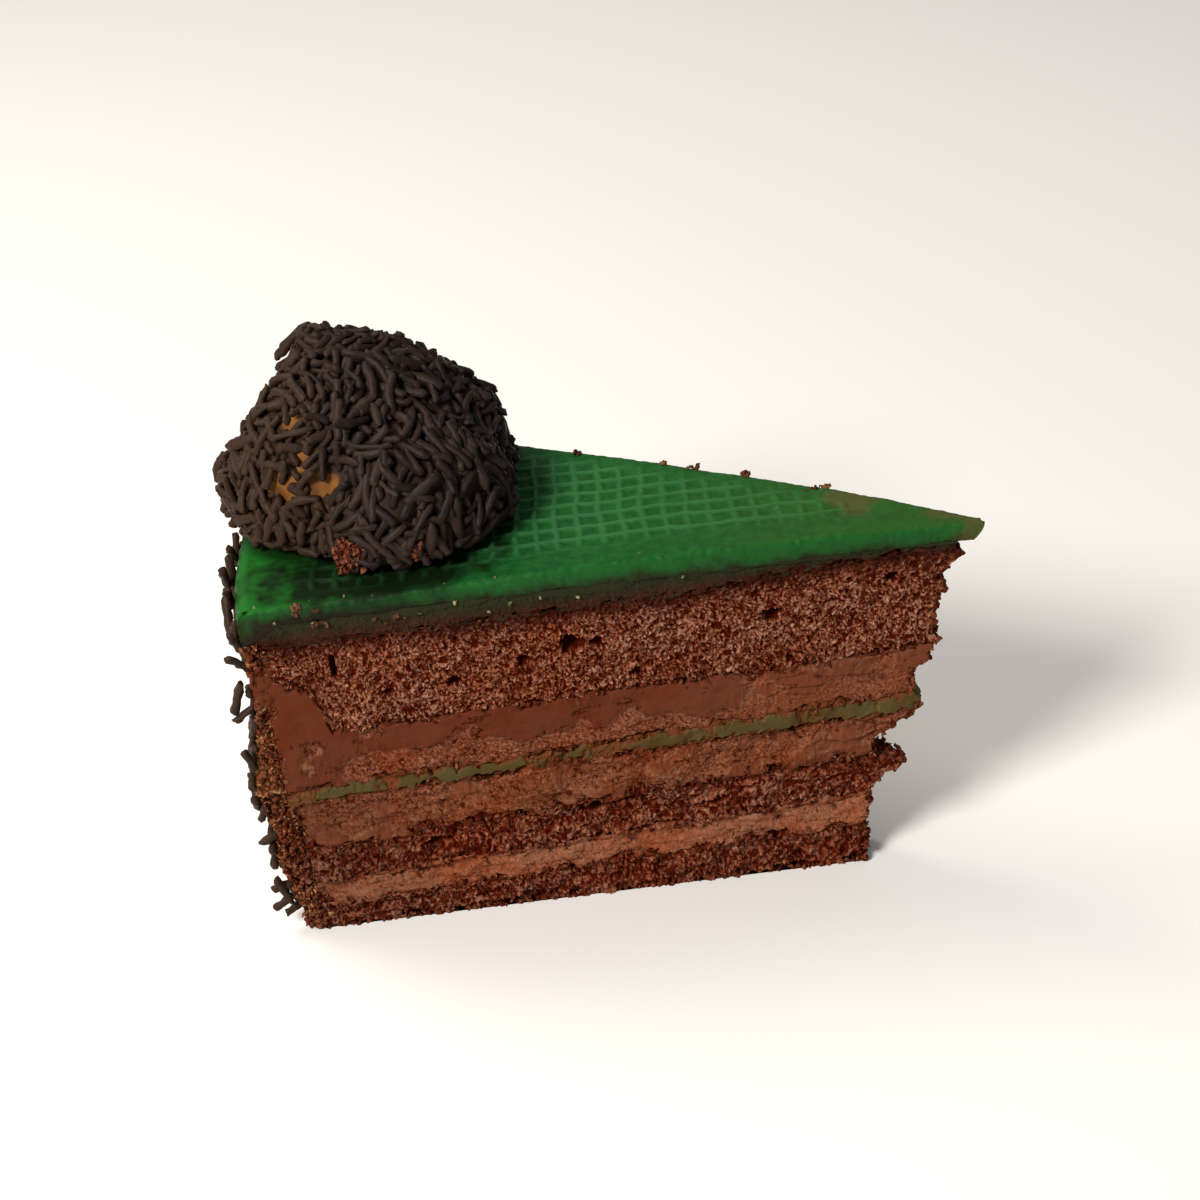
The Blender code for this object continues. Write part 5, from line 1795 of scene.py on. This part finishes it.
patch = ease((z - PATCH_LOW) / PATCH_FADE) * (1.0 - ease((z - PATCH_HIGH) / PATCH_FADE))
add_attribute(item, "outward", outwards.reshape(-1, 3))
add_attribute(item, "free", free.ravel())
add_attribute(item, "bias", smooth_top.ravel())
add_attribute(item, "sunk", np.zeros(rows * count))
add_attribute(item, "stain_and_shade", PATCH_STAIN * patch.ravel())
coat_finish = cut_finish(
    "cream coat with cake crumbs", "#200602", "#683a22", "#cc9c70", "#562b19", "#8c5c34", 0.65,
    warm="#ffdcb8")
run_tree(item, relief_tree, {
    **CREAM_RELIEF, "Wall size": 0.0013, "Wall depth": 0.0008, "Torn share": 0.60,
    "Cracked": 0.0, "Streak depth": 0.0006, "Seed": 9.0, "Finish": coat_finish})
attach(item, "root")
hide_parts("side_coat")

# %% [markdown]
# ## Sprinkles on the outer side
# The outer side was pressed into sprinkles as well. They lie in every direction, half sunk in
# the coat, and a few cling to the marzipan's rim.

# %% Throw sprinkles at the coat
SIDE_WANTED = 190
SIDE_TRIES = 3000
SIDE_APART = 0.0013
SIDE_LOW = 0.0016
SIDE_HIGH = 0.0642
SIDE_PROUD = 0.00035
SIDE_LIMIT = -0.1241
# Sprinkles that show at the outer corner: the two ends, each as x and height in millimetres
CORNER_SPRINKLES = (
    ((-122.0, 61.8), (-120.9, 58.0)), ((-123.4, 57.1), (-120.6, 54.6)),
    ((-121.8, 52.0), (-124.2, 45.4)), ((-124.3, 44.2), (-120.8, 46.2)),
    ((-123.6, 38.6), (-122.7, 34.0)), ((-124.2, 19.0), (-120.8, 20.0)),
    ((-124.2, 4.6), (-119.6, 7.2)), ((-122.8, 11.6), (-121.0, 5.4)),
    ((-124.0, 8.8), (-119.8, 9.6)), ((-122.4, 3.0), (-119.0, 5.0)),
    ((-121.9, 27.0), (-123.6, 23.0)), ((-120.6, 64.0), (-121.9, 59.4)),
)
CORNER_DEPTH = 0.0030
# Sprinkles that cling to the rim of the cover: the two ends, each as a share of the way round
# the outer side and a height in millimetres
RIM_SPRINKLES = (
    ((0.08, 58.6), (0.14, 63.6)), ((0.13, 65.2), (0.17, 60.0)), ((0.16, 58.0), (0.23, 61.5)),
    ((0.20, 66.2), (0.24, 61.2)), ((0.25, 60.0), (0.27, 65.8)), ((0.22, 57.0), (0.29, 59.8)),
    ((0.29, 66.4), (0.34, 62.4)), ((0.30, 62.0), (0.31, 57.4)), ((0.17, 57.6), (0.18, 52.6)),
    ((0.35, 60.4), (0.40, 65.0)), ((0.10, 66.0), (0.13, 61.6)),
)
RIM_PROUD = (0.0006, 0.0019)


def rod_on_side(rng):
    """A bent line of points that lies on the outer side somewhere."""
    along = rng.uniform(0.004, 0.99)
    z = rng.uniform(SIDE_LOW, SIDE_HIGH)
    lean = rng.uniform(0.0, math.tau)
    length = rng.uniform(*SPRINKLE_LENGTHS)
    steps = (ROD_SHARES - 0.5) * length
    up = z + math.sin(lean) * steps
    across = along + math.cos(lean) * steps / ARC_LENGTH
    up = up + rng.uniform(-1.0, 1.0) * 0.0003 * (1.0 - (2.0 * steps / length) ** 2)
    if up.min() < SIDE_LOW or up.max() > SIDE_HIGH or across.min() < 0.0 or across.max() > 1.0:
        return None
    plan, _ = arc_point(across, side_radius(up) + SIDE_PROUD, up)
    return np.concatenate([plan, up[:, None]], axis=1)


rods = []
for start, end in CORNER_SPRINKLES:
    depth = rng.uniform(0.3, 1.0) * CORNER_DEPTH
    places = np.zeros((ROD_POINTS, 3))
    places[:, 0] = (start[0] + (end[0] - start[0]) * ROD_SHARES) / 1000.0
    places[:, 1] = depth * (0.6 + 0.4 * ROD_SHARES)
    places[:, 2] = (start[1] + (end[1] - start[1]) * ROD_SHARES) / 1000.0
    rods.append(places)
for start, end in RIM_SPRINKLES:
    up = (start[1] + (end[1] - start[1]) * ROD_SHARES) / 1000.0
    proud = rng.uniform(*RIM_PROUD)
    across = start[0] + (end[0] - start[0]) * ROD_SHARES
    plan, _ = arc_point(across, side_radius(up) + proud, up)
    rods.append(np.concatenate([plan, up[:, None]], axis=1))
for _ in range(SIDE_TRIES):
    if len(rods) >= SIDE_WANTED:
        break
    rod = rod_on_side(rng)
    if rod is None:
        continue
    gaps = np.linalg.norm(np.concatenate(rods)[:, None] - rod[None, ::2], axis=-1)
    if gaps.min() < SIDE_APART:
        continue
    rods.append(rod)
lines = np.array(rods)
lines[..., 0] = np.maximum(lines[..., 0], SIDE_LIMIT)
radii = SPRINKLE_RADIUS * rng.uniform(0.88, 1.0, len(rods))
item = add_rods("side_sprinkles", lines, radii, sprinkle_finish, 6)
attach(item, "root")
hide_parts("side_coat")

# %% [markdown]
# ## Loose crumbs
# A cut cake sheds crumbs. Two clumps of sponge stick to the foot of the truffle, single crumbs
# lie along the back edge and on the cover's cut edge, and pale specks of sugar and almond lie on
# the green, some of them placed as painted glints of moisture. Crumbs of each kind of layer also
# cling to the near face along the boundaries and the coat, and to the crumbled end. Each crumb is
# a small ball. One tree puts a ball at every point, turns it, stretches it, makes it real and
# dents it with noise.

# %% The tree that turns points into crumbs
tree, given = start_tree("loose crumbs", ("Dent size", "Dent depth", "Seed"))
ball = add_node(tree, "GeometryNodeMeshIcoSphere", inputs={"Radius": 1.0, "Subdivisions": 2})
crumb_size = add_node(tree, "GeometryNodeInputNamedAttribute", NUMBERS, {"Name": "size"})
turned = add_node(tree, "FunctionNodeRandomValue", {"data_type": "FLOAT_VECTOR"}, {
    0: (0.0, 0.0, 0.0), 1: (math.tau, math.tau, math.tau)})
stretch = add_node(tree, "FunctionNodeRandomValue", {"data_type": "FLOAT_VECTOR"}, {
    0: (0.75, 0.65, 0.6), 1: (1.25, 1.0, 0.9)})
scaled = add_node(tree, "ShaderNodeVectorMath", SCALE, {0: stretch, "Scale": crumb_size})
placed = add_node(tree, "GeometryNodeInstanceOnPoints", inputs={
    "Points": given["Geometry"], "Instance": ball.outputs["Mesh"], "Rotation": turned,
    "Scale": scaled})
solid = add_node(tree, "GeometryNodeRealizeInstances", inputs={"Geometry": placed})
dent_scale = add_node(tree, "ShaderNodeMath", DIVIDE, {0: 1.0, 1: given["Dent size"]})
dents = add_node(tree, "ShaderNodeTexNoise", SEEDED, {
    "Vector": add_node(tree, "GeometryNodeInputPosition"), "W": given["Seed"],
    "Scale": dent_scale, "Detail": 1.0})
end_tree(tree, push_by_noise(tree, solid, dents, given["Dent depth"]), given["Finish"])
crumb_tree = tree
print("crumb tree:", len(tree.nodes), "nodes")

# %% Clumps at the foot, and single crumbs
# Each clump: its middle and half sizes in millimetres from the tip, its crumbs and their size
RED_CLUMPS = (
    ((-101.1, 6.4, 70.1), (2.6, 1.1, 2.7), 330, 0.44),
    ((-91.0, 5.2, 70.3), (1.5, 0.7, 1.2), 60, 0.40),
)
TAN_CLUMPS = (
    ((-110.8, 0.3, 65.0), (0.8, 0.4, 0.8), 14, 0.50),
    ((-107.9, 0.2, 64.6), (0.8, 0.3, 0.5), 8, 0.32),
    ((-107.6, 0.0, 61.8), (1.4, 0.2, 0.7), 9, 0.30),
    ((-97.0, 0.1, 61.5), (3.0, 0.2, 0.8), 9, 0.28),
    ((-62.8, 36.9, 66.9), (0.7, 0.4, 0.3), 6, 0.34),
    ((-48.9, 29.4, 66.9), (0.8, 0.4, 0.4), 8, 0.38),
    ((-44.5, 26.9, 66.9), (1.2, 0.4, 0.3), 8, 0.36),
    ((-35.8, 22.0, 67.0), (1.0, 0.5, 0.4), 9, 0.42),
    ((-24.2, 15.5, 66.8), (2.4, 0.5, 0.3), 12, 0.34),
)
# Pale specks of sugar, some of them painted glints of moisture, as x, y and height in
# millimetres from the tip
PALE_SPECKS_AND_GLINTS = (
    (-108.5, 1.2, 65.8), (-108.6, -0.1, 62.6), (-103.2, 1.6, 65.7), (-98.4, 0.6, 65.7),
    (-86.9, 1.0, 65.9), (-85.6, -0.1, 63.0), (-78.7, 0.8, 66.0), (-77.0, -0.2, 61.6),
    (-72.1, -0.2, 62.0), (-57.3, 2.2, 66.6), (-55.4, 1.7, 66.6), (-49.3, -0.2, 62.8),
    (-46.1, 2.9, 66.7), (-117.2, 1.4, 65.7), (-114.6, -0.1, 63.4), (-91.6, -0.1, 62.0),
    (-80.6, -0.2, 60.6), (-66.0, -0.2, 61.4), (-61.0, 1.4, 66.4), (-38.0, 1.0, 66.4),
)
SPECK_SIZE = 0.00022


def add_crumbs(name, places, sizes, slot_name, finish, seed, tones=(0.30, 0.80)):
    """One piece of many crumbs, from their middles and their sizes."""
    rng = np.random.default_rng(seed)
    item = add_piece(name, places, [])
    add_attribute(item, "size", sizes)
    add_attribute(item, "tone_and_shade", rng.uniform(*tones, len(places)))
    add_attribute(item, "torn", np.ones(len(places)))
    run_tree(item, crumb_tree, {
        "Dent size": 0.00045, "Dent depth": 0.0019, "Seed": float(seed), "Finish": finish})
    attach(item, "root")
    return item


# %% Crumbs that cling to the layers
# Crumbs along the boundaries of the near face: the layer that they come from, the boundary,
# how many, their size and how far they stray from it, in millimetres
EDGE_CRUMBS = (
    ("top", "upper_cream", 240, 0.34, 0.35), ("light", "green_layer", 240, 0.26, 0.60),
    ("light", "middle_cream", 160, 0.28, 0.60), ("dark", "middle_sponge", 200, 0.36, 0.70),
    ("light", "lower_cream", 140, 0.30, 0.70), ("dark", "bottom_sponge", 180, 0.34, 0.70),
    ("dark", "base", 260, 0.38, 0.35),
)
# Crumbs on the crumbled end: the layer, its lowest and highest point, and how many
END_CRUMBS = (
    ("dark", 0.3, 8.5, 150), ("light", 9.0, 14.8, 100), ("dark", 15.4, 23.4, 170),
    ("light", 23.8, 30.6, 120), ("light", 34.8, 43.0, 130), ("top", 43.8, 58.6, 300),
)
END_CRUMB_SIZE = 0.00042
# Crumbs where the coat meets the layers: the layer, its lowest and highest point, and how many
SEAM_CRUMBS = (("dark", 0.3, 22.0, 90), ("light", 0.3, 46.0, 260), ("top", 44.0, 59.0, 60))
SEAM_SPREAD = (-0.0026, 0.0010)
# Where the boundaries' crumbs lie along the face, and how deep crumbs sit in it
FACE_SPAN = (-0.1245, -0.002)
FACE_DEPTHS = (0.0002, 0.0009)
SEAM_DEPTHS = (0.0002, 0.0010)
END_DEPTHS = (-0.0001, 0.0005)
LOWEST_CRUMB = 0.0002
# Darker tones for the crumbs sunk in the near face, painted as the shade they sit in
SUNK_SHADE_TONES = (0.05, 0.50)


def throw_edge_crumbs(rng, layer):
    """The middles and the sizes of the crumbs that one kind of layer shed."""
    near = side_of_station == "near"
    places = []
    sizes = []
    for kind, surface, amount, size, stray in EDGE_CRUMBS:
        if kind != layer:
            continue
        x = rng.uniform(*FACE_SPAN, amount)
        order = np.argsort(top_plan[near, 0])
        z = np.interp(x, top_plan[near, 0][order], heights[surface][near][order])
        z = np.maximum(z + rng.normal(0.0, stray / 1000.0, amount), LOWEST_CRUMB)
        y = rng.uniform(*FACE_DEPTHS, amount)
        inside = (x < -tip_back(z)) & (x > near_corner(core_radius(z))[:, 0])
        places.append(np.stack([x, y, z], axis=1)[inside])
        sizes.append(size / 1000.0 * rng.uniform(0.45, 1.3, amount)[inside])
    for kind, low, high, amount in SEAM_CRUMBS:
        if kind != layer:
            continue
        z = rng.uniform(low, high, amount) / 1000.0
        x = near_corner(core_radius(z))[:, 0] + rng.uniform(*SEAM_SPREAD, amount)
        y = rng.uniform(*SEAM_DEPTHS, amount)
        places.append(np.stack([x, y, z], axis=1))
        sizes.append(END_CRUMB_SIZE * rng.uniform(0.5, 1.3, amount))
    for kind, low, high, amount in END_CRUMBS:
        if kind != layer:
            continue
        z = rng.uniform(low, high, amount) / 1000.0
        along = rng.uniform(0.0, 1.0, amount)
        stands_back = tip_back(z) + rng.uniform(*END_DEPTHS, amount)
        plan, _ = outline_point("tip", along, z, core_radius(z), stands_back)
        places.append(np.concatenate([plan, z[:, None]], axis=1))
        sizes.append(END_CRUMB_SIZE * rng.uniform(0.5, 1.4, amount))
    return np.concatenate(places), np.concatenate(sizes)


def throw_clumps(rng, clumps):
    """The middles and the sizes of the crumbs in some clumps."""
    places = []
    sizes = []
    for middle, half, amount, size in clumps:
        spread = rng.normal(0.0, 0.45, (amount, 3)).clip(-1.0, 1.0)
        places.append((np.array(middle) + np.array(half) * spread) / 1000.0)
        sizes.append(size / 1000.0 * rng.uniform(0.5, 1.2, amount))
    return np.concatenate(places), np.concatenate(sizes)


# %% Throw the crumbs and make them
rng = np.random.default_rng(21)
red_finish = cut_finish(
    "red brown sponge crumbs", "#2c0d06", "#5a2c1e", "#865440", "#5a2c1e", "#34130b", 0.8)
add_crumbs("sponge_crumbs", *throw_clumps(rng, RED_CLUMPS), "sponge", red_finish, 22)
tan_finish = cut_finish(
    "tan cream crumbs", "#2c1a10", "#4c3322", "#7c5a40", "#4c3322", "#34130b", 0.8)
add_crumbs("cream_crumbs", *throw_clumps(rng, TAN_CLUMPS), "cover_cream", tan_finish, 24)
for layer, slot_name, finish in (
        ("top", "sponge", sponge_finish), ("dark", "dark_sponge", dark_sponge_finish),
        ("light", "light_cream", light_cream_finish)):
    add_crumbs(f"{layer}_layer_crumbs", *throw_edge_crumbs(rng, layer), slot_name, finish, 25,
        SUNK_SHADE_TONES)
speck_and_glint_finish = cut_finish(
    "pale sugar specks and glints", "#4a5236", "#6c7450", "#969a78", "#6c7450", "#4a5236", 0.6)
specks_and_glints = np.array(PALE_SPECKS_AND_GLINTS) / 1000.0
add_crumbs(
    "pale_specks_and_glints", specks_and_glints, SPECK_SIZE * rng.uniform(0.6, 1.4, len(specks_and_glints)), "marzipan",
    speck_and_glint_finish, 23)

# %% [markdown]
# ## The floor, the light and the camera
# The slice stands on a plain pale floor in soft light, as in a product photograph. A large soft
# light stands behind and above on the left, a weaker one fills the front, and the pale world
# lights the rest. The camera looks down from the front, tilted a little, with a lens that is
# twice as long as a normal one.

# %% Floor
FLOOR_SIZE = 3.0
bpy.ops.mesh.primitive_plane_add(size=FLOOR_SIZE, location=(0.0, 0.0, 0.0))
floor = bpy.context.object
floor.name = "floor"
paper = bpy.data.materials.new("matt white paper")
paper.use_nodes = True
paper_shader = paper.node_tree.nodes["Principled BSDF"]
paper_shader.inputs["Base Color"].default_value = linear("#e6e5e3")
paper_shader.inputs["Roughness"].default_value = 0.95
floor.data.materials.append(paper)
floor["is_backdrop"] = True
print("floor laid")

# %% Light
WORLD_STRENGTH = 0.30
LIGHTS = (
    ("back light", (-0.45, 0.30, 0.70), 0.50, 4.2, "#fff6ea"),
    ("front light", (-0.48, -0.50, 0.65), 0.30, 10.0, "#fffaf4"),
)
world = bpy.data.worlds.new("studio")
world.use_nodes = True
backdrop = world.node_tree.nodes["Background"]
backdrop.inputs["Color"].default_value = linear("#ffffff")
backdrop.inputs["Strength"].default_value = WORLD_STRENGTH
bpy.context.scene.world = world
for name, place, size, power, colour in LIGHTS:
    lamp = bpy.data.lights.new(name, "AREA")
    lamp.shape = "DISK"
    lamp.size = size
    lamp.energy = power
    lamp.color = linear(colour)[:3]
    holder = bpy.data.objects.new(name, lamp)
    holder.location = place
    holder.rotation_euler = (-Vector(place)).to_track_quat("-Z", "Y").to_euler()
    bpy.context.scene.collection.objects.link(holder)
bpy.context.scene.view_settings.view_transform = "Standard"
print(len(LIGHTS), "lights and the world")

# %% Camera
CAMERA_PLACE = np.array((-0.07088, -0.32432, 0.26783))
CAMERA_DOWN = math.radians(32.626)
CAMERA_YAW = math.radians(1.454)
CAMERA_ROLL = math.radians(6.219)
CAMERA_LENS = 72.2
lens = bpy.data.cameras.new("camera")
lens.lens = CAMERA_LENS
lens.sensor_width = 36.0
lens.clip_start = 0.01
camera = bpy.data.objects.new("camera", lens)
forward = Vector((
    math.sin(CAMERA_YAW) * math.cos(CAMERA_DOWN),
    math.cos(CAMERA_YAW) * math.cos(CAMERA_DOWN),
    -math.sin(CAMERA_DOWN),
))
level_right = Vector((math.cos(CAMERA_YAW), -math.sin(CAMERA_YAW), 0.0))
level_up = level_right.cross(forward)
right = level_right * math.cos(CAMERA_ROLL) - level_up * math.sin(CAMERA_ROLL)
up = level_right * math.sin(CAMERA_ROLL) + level_up * math.cos(CAMERA_ROLL)
turned = Matrix((right, up, -forward)).transposed().to_4x4()
turned.translation = Vector(CAMERA_PLACE + tip_corner)
camera.matrix_world = turned
bpy.context.scene.collection.objects.link(camera)
bpy.context.scene.camera = camera
print("camera at, mm:", [round(1000 * part, 1) for part in turned.translation])

# %% [markdown]
# ## Sizes
# Both boxes, the imported model's and the dressed slice's, are printed in millimetres. The
# dressed slice must stay inside the imported model's box.

# %% Print both boxes and finish
dressed_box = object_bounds()
sizes = {
    "packed": [list(corner) for corner in cad_box],
    "dressed": [list(corner) for corner in dressed_box],
}
for name, (low, high) in sizes.items():
    print(name, [round(1000 * part, 2) for part in low], [round(1000 * part, 2) for part in high])
